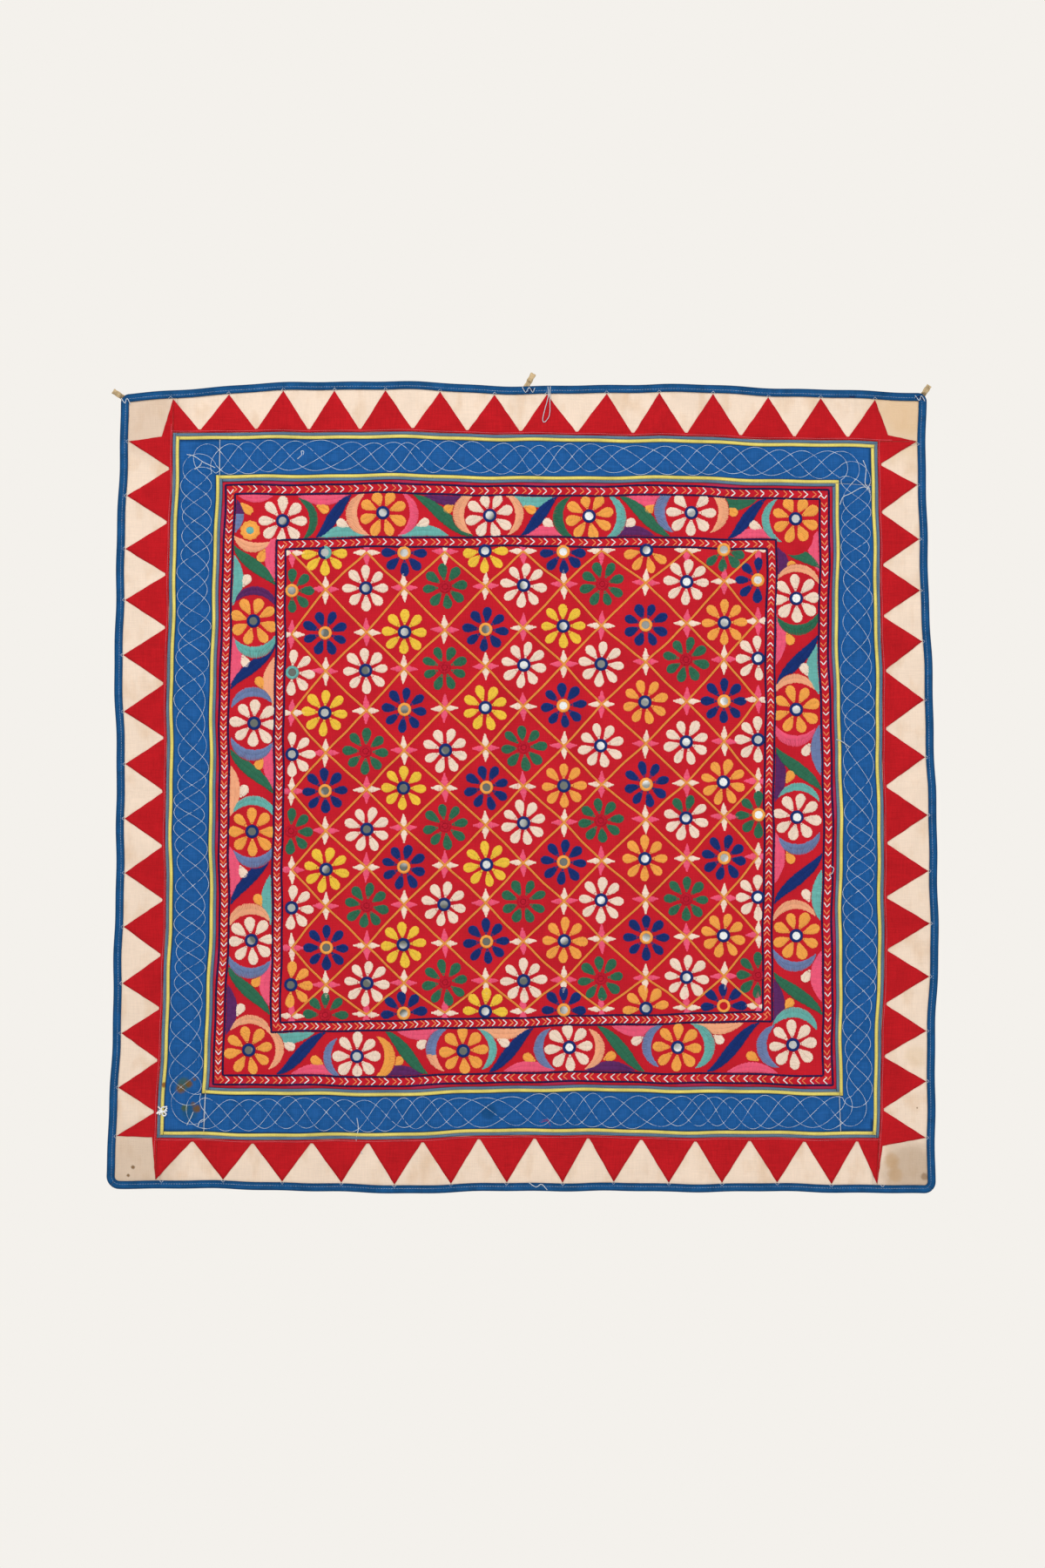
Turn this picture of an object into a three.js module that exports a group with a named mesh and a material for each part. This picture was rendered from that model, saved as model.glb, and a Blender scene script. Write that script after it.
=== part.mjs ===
// Embroidered wall hanging, built as a square hanging is sewn. A red embroidered centre panel is
// framed by pipings, a blue quilted band, more pipings, a cream border with red dog-tooth applique
// and a folded blue binding. Three tape loops carry it.
//
// Millimetres, +Z up, the front faces -Y. The origin is on the top edge, at the centre loop's foot.
// The cloth hangs in the XZ plane; "lift" is how far a face stands in front of the ground's back.

import * as THREE from "three";

// ---- Driving dimensions ----------------------------------------------------------------------

const GAP = 0.3; // air between neighbouring pieces
const HEIGHT = 1190; // top edge to bottom edge

const LIFT = {
  ground: [0, 1.2],
  applique: [1.5, 2.5],
  pale_piping: [1.5, 2.7],
  yellow_piping: [1.5, 3.1],
  mirror: [1.7, 2.5],
};

const PALE_PIPING_WIDTH = 4.2;
const YELLOW_PIPING_WIDTH = 5;

const BINDING = { width: 12, fold: 0.9, front: [1.5, 2.7], back: [-1.5, -0.3] };
const GROUND_INSET = BINDING.fold + GAP; // the cream ground stops inside the fold

const MIRROR = { radius: 7, sides: 12 };

const TEETH = {
  base: PALE_PIPING_WIDTH + 0.6, // the strip's straight edge, outside the outer seam
  valley: PALE_PIPING_WIDTH + 5.6, // the foot of each valley, outside the outer seam
  tip_inset: BINDING.width + 1, // tips stop just short of the binding
  heel: 6, // how far from its corner the strip's edge meets the notch
};

// The sewn lines, each as seven distances read along its side. Top and bottom lines give z at
// x = -600, -400 ... 600; left and right lines give x at z = 0, -200 ... -1200.
const STATION = 200;
const LINES = {
  edge: {
    top: [-13, 3, 7, 0, 3, -4, -10],
    right: [587, 588, 595, 601, 605, 600, 602],
    bottom: [-1178, -1180, -1185, -1182, -1183, -1183, -1187],
    left: [-595, -601, -605, -602, -605, -610, -620],
  },
  outer_seam: {
    top: [-72, -73, -72, -76, -78, -84, -86],
    right: [511, 513, 517, 519, 521, 516, 510],
    bottom: [-1098, -1102, -1101, -1095, -1098, -1099, -1100],
    left: [-513, -518, -523, -525, -526, -534, -543],
  },
  inner_seam: {
    top: [-135, -136, -134, -138, -137, -143, -146],
    right: [453, 454, 453, 459, 458, 459, 463],
    bottom: [-1032, -1035, -1037, -1031, -1032, -1035, -1041],
    left: [-449, -453, -459, -461, -461, -470, -479],
  },
};

// Corners clockwise from the top left: the two sides that meet, the radius of the bound corner,
// and the applique's notch between the two teeth beside it.
const CORNERS = [
  { flat: "top", upright: "left", radius: 13, notch_x: -536, notch_z: -74 },
  { flat: "top", upright: "right", radius: 13, notch_x: 531, notch_z: -72 },
  { flat: "bottom", upright: "right", radius: 17, notch_x: 523, notch_z: -1116 },
  { flat: "bottom", upright: "left", radius: 19, notch_x: -550, notch_z: -1103 },
];

// Where the teeth point along each side: x for top and bottom, z for left and right.
const TOOTH_TIPS = {
  top: [-523, -437, -357, -282, -207, -127, -47, 30, 118, 195, 274, 355, 432, 512],
  right: [-1104, -1021, -947, -867, -789, -712, -630, -545, -461, -375, -300, -225, -145, -85],
  bottom: [-536, -446, -359, -272, -194, -111, -29, 53, 128, 209, 287, 368, 448, 523],
  left: [-1101, -1030, -950, -877, -794, -715, -635, -555, -478, -395, -314, -239, -161, -81],
};

// Mirrors of the scroll border, by side.
const MIRRORS = {
  top: [
    { x: -358, z: -198 },
    { x: -211, z: -186 },
    { x: -54, z: -190 },
    { x: 92, z: -191 },
    { x: 242, z: -186 },
    { x: 395, z: -195 },
  ],
  right: [
    { x: 396, z: -312 },
    { x: 396, z: -475 },
    { x: 397, z: -633 },
    { x: 396, z: -807 },
    { x: 391, z: -967 },
  ],
  bottom: [
    { x: -408, z: -975 },
    { x: -249, z: -984 },
    { x: -93, z: -976 },
    { x: 63, z: -971 },
    { x: 222, z: -971 },
  ],
  left: [
    { x: -401, z: -345 },
    { x: -400, z: -495 },
    { x: -403, z: -654 },
    { x: -404, z: -814 },
  ],
};

// Hanging loops: the foot, the lean from upright (positive to the right), the reach from foot to
// tip, and the length of the eye's straight sides.
const LOOPS = [
  { name: "left", x: -592, z: -17, lean: -57, reach: 19, eye: 7.8 },
  { name: "centre", x: 0, z: 0, lean: 29, reach: 21.6, eye: 6.8 },
  { name: "right", x: 582.5, z: -13, lean: 34, reach: 17.5, eye: 8 },
];
const TAPE = { width: 8.4, thickness: 1.2, tail: 14, eye_radius: 2.5 };

// Hung shape: bellies between the loops, long folds at the foot, one broad belly, and the two
// tented creases left by folded storage.
const TOP_BELLY = { depth: 4, pitch: 590 };
const FOOT_FOLDS = { depth: 4, pitch: 520, shift: 90 };
const BROAD_BELLY = 3;
const CREASE = { x: 200, z: -588, reach: 20, height: 1.5 };

const STEP = 75; // spacing of the faceted cloth's grid lines

const COLOUR = {
  panel: 0xb0182a,
  band: 0x1d5f9f,
  yellow: 0xe6d06e,
  pale: 0x7891a6,
  cream: 0xeedcc4,
  teeth: 0xbc1a24,
  binding: 0x1e5688,
  tape: 0xc9b48f,
  glass: 0xb9bfc4,
};

const SIDES = ["top", "right", "bottom", "left"]; // clockwise, seen from the front
const OUTWARD = { top: 1, right: 1, bottom: -1, left: -1 };

// How each framing strip ends: "over" runs out to its neighbour's outer line, "butt" stops
// against its neighbour's inner line. low is the left or lower end, high the right or upper one.
const ENDS = {
  top: { low: { kind: "butt", at: "left" }, high: { kind: "over", at: "right" } },
  right: { low: { kind: "over", at: "bottom" }, high: { kind: "butt", at: "top" } },
  bottom: { low: { kind: "butt", at: "left" }, high: { kind: "butt", at: "right" } },
  left: { low: { kind: "over", at: "bottom" }, high: { kind: "over", at: "top" } },
};

// ---- The hung surface ------------------------------------------------------------------------

const { lerp, clamp, degToRad } = THREE.MathUtils;

function tent(distance) {
  return Math.max(0, 1 - Math.abs(distance) / CREASE.reach);
}

// How far the cloth stands in front of the hanging plane at (x, z).
function relief(x, z) {
  const down = clamp(-z / HEIGHT, 0, 1);
  const between = Math.sin((Math.PI * x) / TOP_BELLY.pitch) ** 2;
  const fold = Math.sin((Math.PI * (x - FOOT_FOLDS.shift)) / FOOT_FOLDS.pitch) ** 2;
  const crease = CREASE.height * Math.max(tent(x - CREASE.x), tent(z - CREASE.z));
  return (
    TOP_BELLY.depth * (1 - down) * between +
    FOOT_FOLDS.depth * down ** 2 * fold +
    BROAD_BELLY * Math.sin(Math.PI * down) +
    crease
  );
}

function onCloth(x, z, lift) {
  return new THREE.Vector3(x, -(relief(x, z) + lift), z);
}

// ---- Sewn lines ------------------------------------------------------------------------------

function isUpright(side) {
  return side === "left" || side === "right";
}

// A smooth curve through evenly spaced values, carried on straight past both ends.
function through(values, at) {
  const last = values.length - 1;
  const i = clamp(Math.floor(at), 0, last - 1);
  const before = values[i - 1] ?? 2 * values[i] - values[i + 1];
  const after = values[i + 2] ?? 2 * values[i + 1] - values[i];
  const slopeIn = (values[i + 1] - before) / 2;
  const slopeOut = (after - values[i]) / 2;
  if (at < 0) return values[0] + at * slopeIn;
  if (at > last) return values[last] + (at - last) * slopeOut;
  const t = at - i;
  const s = 1 - t;
  const blend = values[i] * s * s * (1 + 2 * t) + values[i + 1] * t * t * (3 - 2 * t);
  return blend + t * s * (slopeIn * s - slopeOut * t);
}

// One sewn line moved outward by offset: the place across its side at each place along it.
function line(name, side, offset) {
  const values = LINES[name][side];
  const shift = OUTWARD[side] * offset;
  const station = isUpright(side) ? (z) => -z / STATION : (x) => x / STATION + 3;
  return (along) => through(values, station(along)) + shift;
}

function ring(name, offset) {
  return Object.fromEntries(SIDES.map((side) => [side, line(name, side, offset)]));
}

// Where a line along a side meets a line of its neighbour, as [along, across].
function meeting(row, endLine) {
  let across = row(0);
  for (let pass = 0; pass < 5; pass++) across = row(endLine(across));
  return [endLine(across), across];
}

// Grid lines between two ends: even steps and three lines over the crease, clear of both ends.
function stations(from, to, crease, clear) {
  const list = [crease - CREASE.reach, crease, crease + CREASE.reach];
  for (let at = Math.ceil(from / STEP) * STEP; at < to; at += STEP) {
    if (Math.abs(at - crease) > CREASE.reach * 1.4) list.push(at);
  }
  return list.filter((at) => at > from + clear && at < to - clear).sort((a, b) => a - b);
}

function creaseAcross(side) {
  return isUpright(side) ? CREASE.z : CREASE.x;
}

// Turns columns of [along, across] points into [x, z] points.
function placed(columns, side) {
  if (!isUpright(side)) return columns;
  return columns.map((column) => column.map(([along, across]) => [across, along]));
}

// ---- Solids ----------------------------------------------------------------------------------

// A closed solid from points and convex faces, each a loop of point indices, facing outward.
function closedSolid(points, faces) {
  const triangles = [];
  for (const face of faces) {
    for (let i = 2; i < face.length; i++) triangles.push([face[0], face[i - 1], face[i]]);
  }
  let volume = 0;
  for (const [a, b, c] of triangles) {
    volume += points[a].dot(points[b].clone().cross(points[c]));
  }
  const turned = volume < 0 ? triangles.map(([a, b, c]) => [a, c, b]) : triangles;
  const geometry = new THREE.BufferGeometry().setFromPoints(points);
  geometry.setIndex(turned.flat());
  return geometry;
}

// A sheet between two lifts over a grid of columns of [x, z] points.
function sheetSolid(columns, [back, front]) {
  const rows = columns[0].length;
  const plan = columns.flat();
  const points = [back, front].flatMap((lift) => plan.map(([x, z]) => onCloth(x, z, lift)));
  const at = (i, j) => i * rows + j;
  const faces = [];
  const wall = (a, b) => faces.push([a, b, b + plan.length, a + plan.length]);
  for (let i = 1; i < columns.length; i++) {
    for (let j = 1; j < rows; j++) {
      const loop = [at(i - 1, j - 1), at(i, j - 1), at(i, j), at(i - 1, j)];
      const corners = loop.map((k) => points[k]);
      const rising = corners[0].distanceTo(corners[2]) < corners[1].distanceTo(corners[3]);
      if (!rising) loop.push(loop.shift()); // split the cell along its shorter diagonal
      faces.push(loop.map((k) => k + plan.length));
      faces.push([loop[0], loop[3], loop[2], loop[1]]);
    }
    wall(at(i - 1, 0), at(i, 0));
    wall(at(i, rows - 1), at(i - 1, rows - 1));
  }
  for (let j = 1; j < rows; j++) {
    wall(at(0, j), at(0, j - 1));
    wall(at(columns.length - 1, j - 1), at(columns.length - 1, j));
  }
  return closedSolid(points, faces);
}

// A profile of [inset, lift] points carried through stations, each a function from inset to
// [x, z]. caps lists the convex loops that close its ends.
function sweptSolid(sections, profile, caps) {
  const count = profile.length;
  const points = sections.flatMap((section) =>
    profile.map(([inset, lift]) => onCloth(...section(inset), lift)),
  );
  const faces = [];
  for (let i = 1; i < sections.length; i++) {
    for (let j = 0; j < count; j++) {
      const next = (j + 1) % count;
      const [a, b] = [(i - 1) * count, i * count];
      faces.push([a + j, a + next, b + next, b + j]);
    }
  }
  const last = (sections.length - 1) * count;
  for (const loop of caps) {
    faces.push([...loop].reverse());
    faces.push(loop.map((k) => k + last));
  }
  return closedSolid(points, faces);
}

// ---- Frames, corners and the bound outline ---------------------------------------------------

// The grid between two end lines: one column at each end, following the neighbours' lines, and
// one at each station between. Each row gives the place across at a place along.
function gridBetween(start, finish, rows, inner) {
  return [
    rows.map((row) => meeting(row, start)),
    ...inner.map((along) => rows.map((row) => [along, row(along)])),
    rows.map((row) => meeting(row, finish)),
  ];
}

// One side of a frame between an inner and an outer ring of lines, with a row at each share of
// the width.
function frameStrip(side, inner, outer, shares, clear) {
  const endLine = ({ kind, at }) => {
    if (kind === "over") return outer[at];
    return (across) => inner[at](across) - OUTWARD[at] * GAP;
  };
  const start = endLine(ENDS[side].low);
  const finish = endLine(ENDS[side].high);
  const middle = inner[side](isUpright(side) ? -HEIGHT / 2 : 0);
  const between = stations(start(middle), finish(middle), creaseAcross(side), clear);
  const rows = shares.map((share) => (along) =>
    lerp(inner[side](along), outer[side](along), share),
  );
  return placed(gridBetween(start, finish, rows, between), side);
}

// The centre of each corner's round.
const EDGE = ring("edge", 0);
const ROUNDS = CORNERS.map(({ flat, upright, radius }) => {
  const inside = ring("edge", -radius);
  const [x, z] = meeting(inside[flat], inside[upright]);
  return { x, z, radius, out_x: OUTWARD[upright], out_z: OUTWARD[flat] };
});

// Draws a point of the ground that lies past a corner's round back onto it.
function roundedOff([x, z]) {
  for (const round of ROUNDS) {
    const [dx, dz] = [x - round.x, z - round.z];
    const limit = round.radius - GROUND_INSET;
    const share = limit / Math.hypot(dx, dz);
    const beyond = dx * round.out_x > 0 && dz * round.out_z > 0 && share < 1;
    if (beyond) return [round.x + dx * share, round.z + dz * share];
  }
  return [x, z];
}

// Stations along one side of the outline, clockwise from mitre to mitre. Each gives the point
// that lies an inset inside the outline.
function outlineSections(side) {
  const k = SIDES.indexOf(side);
  const [start, end] = [ROUNDS[k], ROUNDS[(k + 1) % 4]];
  const onRound = (round, turn, shift) => (inset) => {
    const angle = degToRad(90 - 90 * k + turn);
    const [out_x, out_z] = [Math.cos(angle), Math.sin(angle)];
    const reach = round.radius - inset;
    return [round.x + reach * out_x + shift * out_z, round.z + reach * out_z - shift * out_x];
  };
  const onSide = (along) => (inset) => {
    const across = EDGE[side](along) - OUTWARD[side] * inset;
    return isUpright(side) ? [across, along] : [along, across];
  };
  const [from, to] = isUpright(side) ? [start.z, end.z] : [start.x, end.x];
  const between = stations(Math.min(from, to), Math.max(from, to), creaseAcross(side), 15);
  if (to < from) between.reverse();
  return [
    onRound(start, 45, GAP / 2),
    onRound(start, 22.5, 0),
    onRound(start, 0, 0),
    ...between.map(onSide),
    onRound(end, 0, 0),
    onRound(end, -22.5, 0),
    onRound(end, -45, -GAP / 2),
  ];
}

// ---- Pieces ----------------------------------------------------------------------------------

const hanging = new THREE.Group();

function addPiece(name, geometry, colour, finish = { roughness: 0.9, metalness: 0 }) {
  const material = new THREE.MeshStandardMaterial({ color: colour, ...finish });
  const mesh = new THREE.Mesh(geometry, material);
  mesh.name = name;
  hanging.add(mesh);
  return mesh;
}

function addCentrePanel() {
  const edge = ring("inner_seam", -GAP / 2);
  const { left, right, top, bottom } = LINES.inner_seam;
  const xs = stations(left[3], right[3], CREASE.x, 20);
  const zs = stations(bottom[3], top[3], CREASE.z, 20);
  const rows = [edge.bottom, ...zs.map((z) => () => z), edge.top];
  const columns = gridBetween(edge.left, edge.right, rows, xs);
  addPiece("centre_panel", sheetSolid(columns, LIFT.ground), COLOUR.panel);
}

function addFrame(name, inner, outer, lifts, colour) {
  for (const side of SIDES) {
    const columns = frameStrip(side, inner, outer, [0, 1], 14);
    addPiece(`${name}_${side}`, sheetSolid(columns, lifts), colour);
  }
}

function addBlueBand() {
  const inner = ring("inner_seam", GAP / 2);
  const outer = ring("outer_seam", -GAP / 2);
  addFrame("blue_band", inner, outer, LIFT.ground, COLOUR.band);
}

function addPipings() {
  const half = GAP / 2;
  const pale = PALE_PIPING_WIDTH + half;
  const yellow = YELLOW_PIPING_WIDTH + half;
  const outer = (offset) => ring("outer_seam", offset);
  const inner = (offset) => ring("inner_seam", offset);
  addFrame("outer_pale_piping", outer(half), outer(pale), LIFT.pale_piping, COLOUR.pale);
  addFrame("outer_yellow_piping", outer(-yellow), outer(-half), LIFT.yellow_piping, COLOUR.yellow);
  addFrame("inner_yellow_piping", inner(half), inner(yellow), LIFT.yellow_piping, COLOUR.yellow);
  addFrame("inner_pale_piping", inner(-pale), inner(-half), LIFT.pale_piping, COLOUR.pale);
}

function addCreamBorder() {
  const inner = ring("outer_seam", GAP / 2);
  const outer = ring("edge", -GROUND_INSET);
  const shares = [0, 0.79, 1]; // the middle row passes where the corners' rounds begin
  for (const side of SIDES) {
    const columns = frameStrip(side, inner, outer, shares, 24);
    const rounded = columns.map((column) => column.map(roundedOff));
    addPiece(`cream_border_${side}`, sheetSolid(rounded, LIFT.ground), COLOUR.cream);
  }
}

// The zigzag of one side as { along, height }, height 1 at a tip and 0 in a valley, with a
// station on each line of the crease.
function zigzag(side) {
  const tips = TOOTH_TIPS[side];
  const list = [{ along: tips[0], height: 1 }];
  for (let i = 1; i < tips.length; i++) {
    list.push({ along: (tips[i - 1] + tips[i]) / 2, height: 0 });
    list.push({ along: tips[i], height: 1 });
  }
  const crease = creaseAcross(side);
  for (const along of [crease - CREASE.reach, crease, crease + CREASE.reach]) {
    const next = list.findIndex((point) => point.along > along);
    const [a, b] = [list[next - 1], list[next]];
    if (Math.min(along - a.along, b.along - along) < 3) continue;
    const share = (along - a.along) / (b.along - a.along);
    list.splice(next, 0, { along, height: lerp(a.height, b.height, share) });
  }
  return list;
}

// The columns that end a strip of teeth, from its seam inward, as [along, across] points. A
// butted strip ends in a tip on the seam; the other one turns the corner past its notch.
function toothEnd(side, { kind, at }, base, tips) {
  if (kind === "butt") {
    const seam = (across) => base[at](across) - OUTWARD[at] * GAP;
    return [[meeting(base[side], seam), meeting(tips[side], seam)]];
  }
  const corner = meeting(base[side], base[at]);
  const heel = corner[0] - OUTWARD[at] * TEETH.heel;
  const { notch_x, notch_z } = CORNERS.find(({ flat, upright }) =>
    [flat, upright].includes(side) && [flat, upright].includes(at),
  );
  const notch = isUpright(side) ? [notch_z, notch_x] : [notch_x, notch_z];
  return [
    [corner, meeting(base[side], tips[at])],
    [[heel, base[side](heel)], notch],
  ];
}

function addTeeth() {
  const base = ring("outer_seam", TEETH.base);
  const valleys = ring("outer_seam", TEETH.valley);
  const tips = ring("edge", -TEETH.tip_inset);
  for (const side of SIDES) {
    const { low, high } = ENDS[side];
    const lowEnd = toothEnd(side, low, base, tips);
    const highEnd = toothEnd(side, high, base, tips);
    const from = lowEnd.at(-1)[0][0] + TEETH.heel;
    const to = highEnd.at(-1)[0][0] - TEETH.heel;
    const points = zigzag(side);
    if (low.kind === "butt") points.shift(); // the end column holds this tip
    if (high.kind === "butt") points.pop();
    const middle = points.map(({ along, height }) => {
      const foot = clamp(along, from, to);
      const peak = lerp(valleys[side](along), tips[side](along), height);
      return [[foot, base[side](foot)], [along, peak]];
    });
    const columns = placed([...lowEnd, ...middle, ...highEnd.reverse()], side);
    addPiece(`red_teeth_${side}`, sheetSolid(columns, LIFT.applique), COLOUR.teeth);
  }
}

function addBinding() {
  const { width, fold, front, back } = BINDING;
  const profile = [
    [0, back[0]],
    [0, front[1]],
    [width, front[1]],
    [width, front[0]],
    [fold, front[0]],
    [fold, back[1]],
    [width, back[1]],
    [width, back[0]],
  ];
  const caps = [[1, 2, 3, 4], [0, 1, 4, 5], [0, 5, 6, 7]];
  for (const side of SIDES) {
    const solid = sweptSolid(outlineSections(side), profile, caps);
    addPiece(`edge_binding_${side}`, solid, COLOUR.binding);
  }
}

function addMirrors() {
  const [back, front] = LIFT.mirror;
  const glass = { roughness: 0.15, metalness: 0.9 };
  for (const side of SIDES) {
    MIRRORS[side].forEach(({ x, z }, i) => {
      const { radius, sides } = MIRROR;
      const disc = new THREE.CylinderGeometry(radius, radius, front - back, sides);
      const mesh = addPiece(`mirror_${side}_${i + 1}`, disc, COLOUR.glass, glass);
      mesh.position.copy(onCloth(x, z, (front + back) / 2));
    });
  }
}

// A tape folded over itself. Its two ends lie flat together behind the binding, and it opens into
// an eye past the edge. The profile runs along the loop (u) and through the cloth (v = Y).
function loopProfile({ reach, eye }) {
  const { thickness, tail, eye_radius } = TAPE;
  const radius = eye_radius + thickness;
  const wall = -BINDING.back[0] + GAP; // the tail's front face, behind the binding
  const back = wall + 2 * thickness;
  const centre = back - radius;
  const far = reach - radius;
  const near = far - eye;
  const neck = Math.PI - Math.asin((wall - centre) / radius);
  const shape = new THREE.Shape();
  shape.moveTo(-tail, wall);
  shape.lineTo(near + radius * Math.cos(neck), wall);
  shape.absarc(near, centre, radius, neck, 1.5 * Math.PI, false);
  shape.absarc(far, centre, radius, 1.5 * Math.PI, 2.5 * Math.PI, false);
  shape.lineTo(-tail, back);
  shape.closePath();
  const hole = new THREE.Path();
  hole.absarc(near, centre, eye_radius, 0.5 * Math.PI, 1.5 * Math.PI, false);
  hole.absarc(far, centre, eye_radius, 1.5 * Math.PI, 2.5 * Math.PI, false);
  hole.closePath();
  shape.holes.push(hole);
  return shape;
}

function addLoops() {
  for (const loop of LOOPS) {
    const settings = { depth: TAPE.width, bevelEnabled: false, curveSegments: 5 };
    const tape = new THREE.ExtrudeGeometry(loopProfile(loop), settings);
    tape.translate(0, 0, -TAPE.width / 2);
    const lean = degToRad(loop.lean);
    const upAxis = new THREE.Vector3(Math.sin(lean), 0, Math.cos(lean));
    const backAxis = new THREE.Vector3(0, 1, 0);
    const sideAxis = upAxis.clone().cross(backAxis);
    const mesh = addPiece(`hanging_loop_${loop.name}`, tape, COLOUR.tape);
    mesh.setRotationFromMatrix(new THREE.Matrix4().makeBasis(upAxis, backAxis, sideAxis));
    mesh.position.set(loop.x, 0, loop.z);
  }
}

addCentrePanel();
addBlueBand();
addPipings();
addCreamBorder();
addTeeth();
addBinding();
addMirrors();
addLoops();

export default hanging;
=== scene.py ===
"""Embroidered wall hanging: the cloth, trims and threads of a square hanging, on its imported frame.

Plan distances are millimetres in the hanging plane: x to the right, z up from the centre loop's foot.
"lift" is how far a face stands in front of the ground cloth's back. Meshes are turned to metres last.
"""

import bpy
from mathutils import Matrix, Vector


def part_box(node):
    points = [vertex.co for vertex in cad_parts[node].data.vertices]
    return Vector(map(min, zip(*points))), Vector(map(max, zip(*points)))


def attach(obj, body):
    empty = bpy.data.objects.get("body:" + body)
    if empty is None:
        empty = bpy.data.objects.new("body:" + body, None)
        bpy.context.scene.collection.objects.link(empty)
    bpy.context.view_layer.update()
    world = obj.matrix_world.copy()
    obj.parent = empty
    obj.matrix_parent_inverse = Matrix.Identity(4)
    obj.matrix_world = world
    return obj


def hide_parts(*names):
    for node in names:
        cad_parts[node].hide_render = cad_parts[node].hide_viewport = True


bl_info = {
    "name": "Embroidered Wall Hanging",
    "version": (1, 0, 0),
    "blender": (4, 5, 0),
    "location": "3D View > Sidebar > Hanging",
    "description": "Builds the cloth, trims, mirrors and threads of a square embroidered hanging",
    "category": "Object",
}

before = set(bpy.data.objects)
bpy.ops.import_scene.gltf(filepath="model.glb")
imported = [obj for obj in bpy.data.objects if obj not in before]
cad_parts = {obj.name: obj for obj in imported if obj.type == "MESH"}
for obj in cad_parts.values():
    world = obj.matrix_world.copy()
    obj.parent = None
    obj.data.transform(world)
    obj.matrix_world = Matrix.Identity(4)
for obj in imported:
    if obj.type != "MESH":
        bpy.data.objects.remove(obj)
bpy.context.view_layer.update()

import math

import bpy
import numpy as np
from bpy.types import Operator, Panel, PropertyGroup

MM = 0.001
BODY = "root"

# ---- The hung cloth ----

HEIGHT = 1190.0
SIDES = ("top", "right", "bottom", "left")  # clockwise, seen from the front
OUTWARD = {"top": 1, "right": 1, "bottom": -1, "left": -1}

# Sewn and embroidered lines, each as seven distances read along its side. Top and bottom lines
# give z at x = -600, -400 ... 600; left and right lines give x at z = 0, -200 ... -1200.
STATION = 200.0
LINES = {
    "edge": {
        "top": (-13, 3, 7, 0, 3, -4, -10),
        "right": (587, 588, 595, 601, 605, 600, 602),
        "bottom": (-1178, -1180, -1185, -1182, -1183, -1183, -1187),
        "left": (-595, -601, -605, -602, -605, -610, -620),
    },
    "outer_seam": {
        "top": (-72, -73, -72, -76, -78, -84, -86),
        "right": (511, 513, 517, 519, 521, 516, 510),
        "bottom": (-1098, -1102, -1101, -1095, -1098, -1099, -1100),
        "left": (-513, -518, -523, -525, -526, -534, -543),
    },
    "inner_seam": {
        "top": (-135, -136, -134, -138, -137, -143, -146),
        "right": (453, 454, 453, 459, 458, 459, 463),
        "bottom": (-1032, -1035, -1037, -1031, -1032, -1035, -1041),
        "left": (-449, -453, -459, -461, -461, -470, -479),
    },
}

# The outer chain line follows the inner seam at a small inset. The inner chain line is sewn nearly
# straight: its places at the first and last station of a side, and how far its middle bows up.
CHAIN_INSET = 9.5
INNER_CHAIN = {
    # side: start, end, bow
    "top": (-231.0, -232.0, 10.0),
    "right": (369.0, 357.0, 0.0),
    "bottom": (-954.0, -927.0, 0.0),
    "left": (-364.0, -378.0, 0.0),
}


def outer_chain(side):
    return np.array(LINES["inner_seam"][side]) - OUTWARD[side] * CHAIN_INSET


def inner_chain(side):
    start, end, bow = INNER_CHAIN[side]
    share = np.linspace(0, 1, len(LINES["inner_seam"][side]))
    return start + (end - start) * share + bow * np.sin(np.pi * share)


LINES["outer_chain"] = {side: outer_chain(side) for side in SIDES}
LINES["inner_chain"] = {side: inner_chain(side) for side in SIDES}

GAP = 0.3
PALE_PIPING = 4.2
YELLOW_PIPING = 5.0
CHAIN_BAND = 13.6  # between the two navy chain lines of a chevron band
GROUND_INSET = 1.2
CLOTH = 1.2  # thickness of one layer

ENDS = {
    "top": (("butt", "left"), ("over", "right")),
    "right": (("over", "bottom"), ("butt", "top")),
    "bottom": (("butt", "left"), ("butt", "right")),
    "left": (("over", "bottom"), ("over", "top")),
}
CORNERS = (
    {"flat": "top", "upright": "left", "radius": 13, "notch": (-536, -74)},
    {"flat": "top", "upright": "right", "radius": 13, "notch": (531, -72)},
    {"flat": "bottom", "upright": "right", "radius": 17, "notch": (523, -1116)},
    {"flat": "bottom", "upright": "left", "radius": 19, "notch": (-550, -1103)},
)
TOOTH_TIPS = {
    "top": (-523, -437, -357, -282, -207, -127, -47, 30, 118, 195, 274, 355, 432, 512),
    "right": (-1104, -1021, -947, -867, -789, -712, -630, -545, -461, -375, -300, -225, -145, -85),
    "bottom": (-536, -446, -359, -272, -194, -111, -29, 53, 128, 209, 287, 368, 448, 523),
    "left": (-1101, -1030, -950, -877, -794, -715, -635, -555, -478, -395, -314, -239, -161, -81),
}
TEETH = {
    "base": PALE_PIPING + 0.6,
    "valley": PALE_PIPING + 5.6,
    "tip_inset": 13.0,
    "heel": 6.0,
    "blunt": 1.7,
    "low": 1.5,
    "high": 2.5,
}
CREASE = {"x": 200.0, "z": -588.0, "reach": 20.0, "height": 1.5}


def relief(x, z):
    """How far the cloth's back stands in front of the hanging plane at (x, z)."""
    down = np.clip(-z / HEIGHT, 0, 1)
    between = np.sin(np.pi * x / 590) ** 2
    fold = np.sin(np.pi * (x - 90) / 520) ** 2
    crease = np.maximum(tent(x - CREASE["x"]), tent(z - CREASE["z"])) * CREASE["height"]
    hung = 4 * (1 - down) * between + 4 * down**2 * fold + 3 * np.sin(np.pi * down)
    return hung + crease + puckers(x, z)


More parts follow.
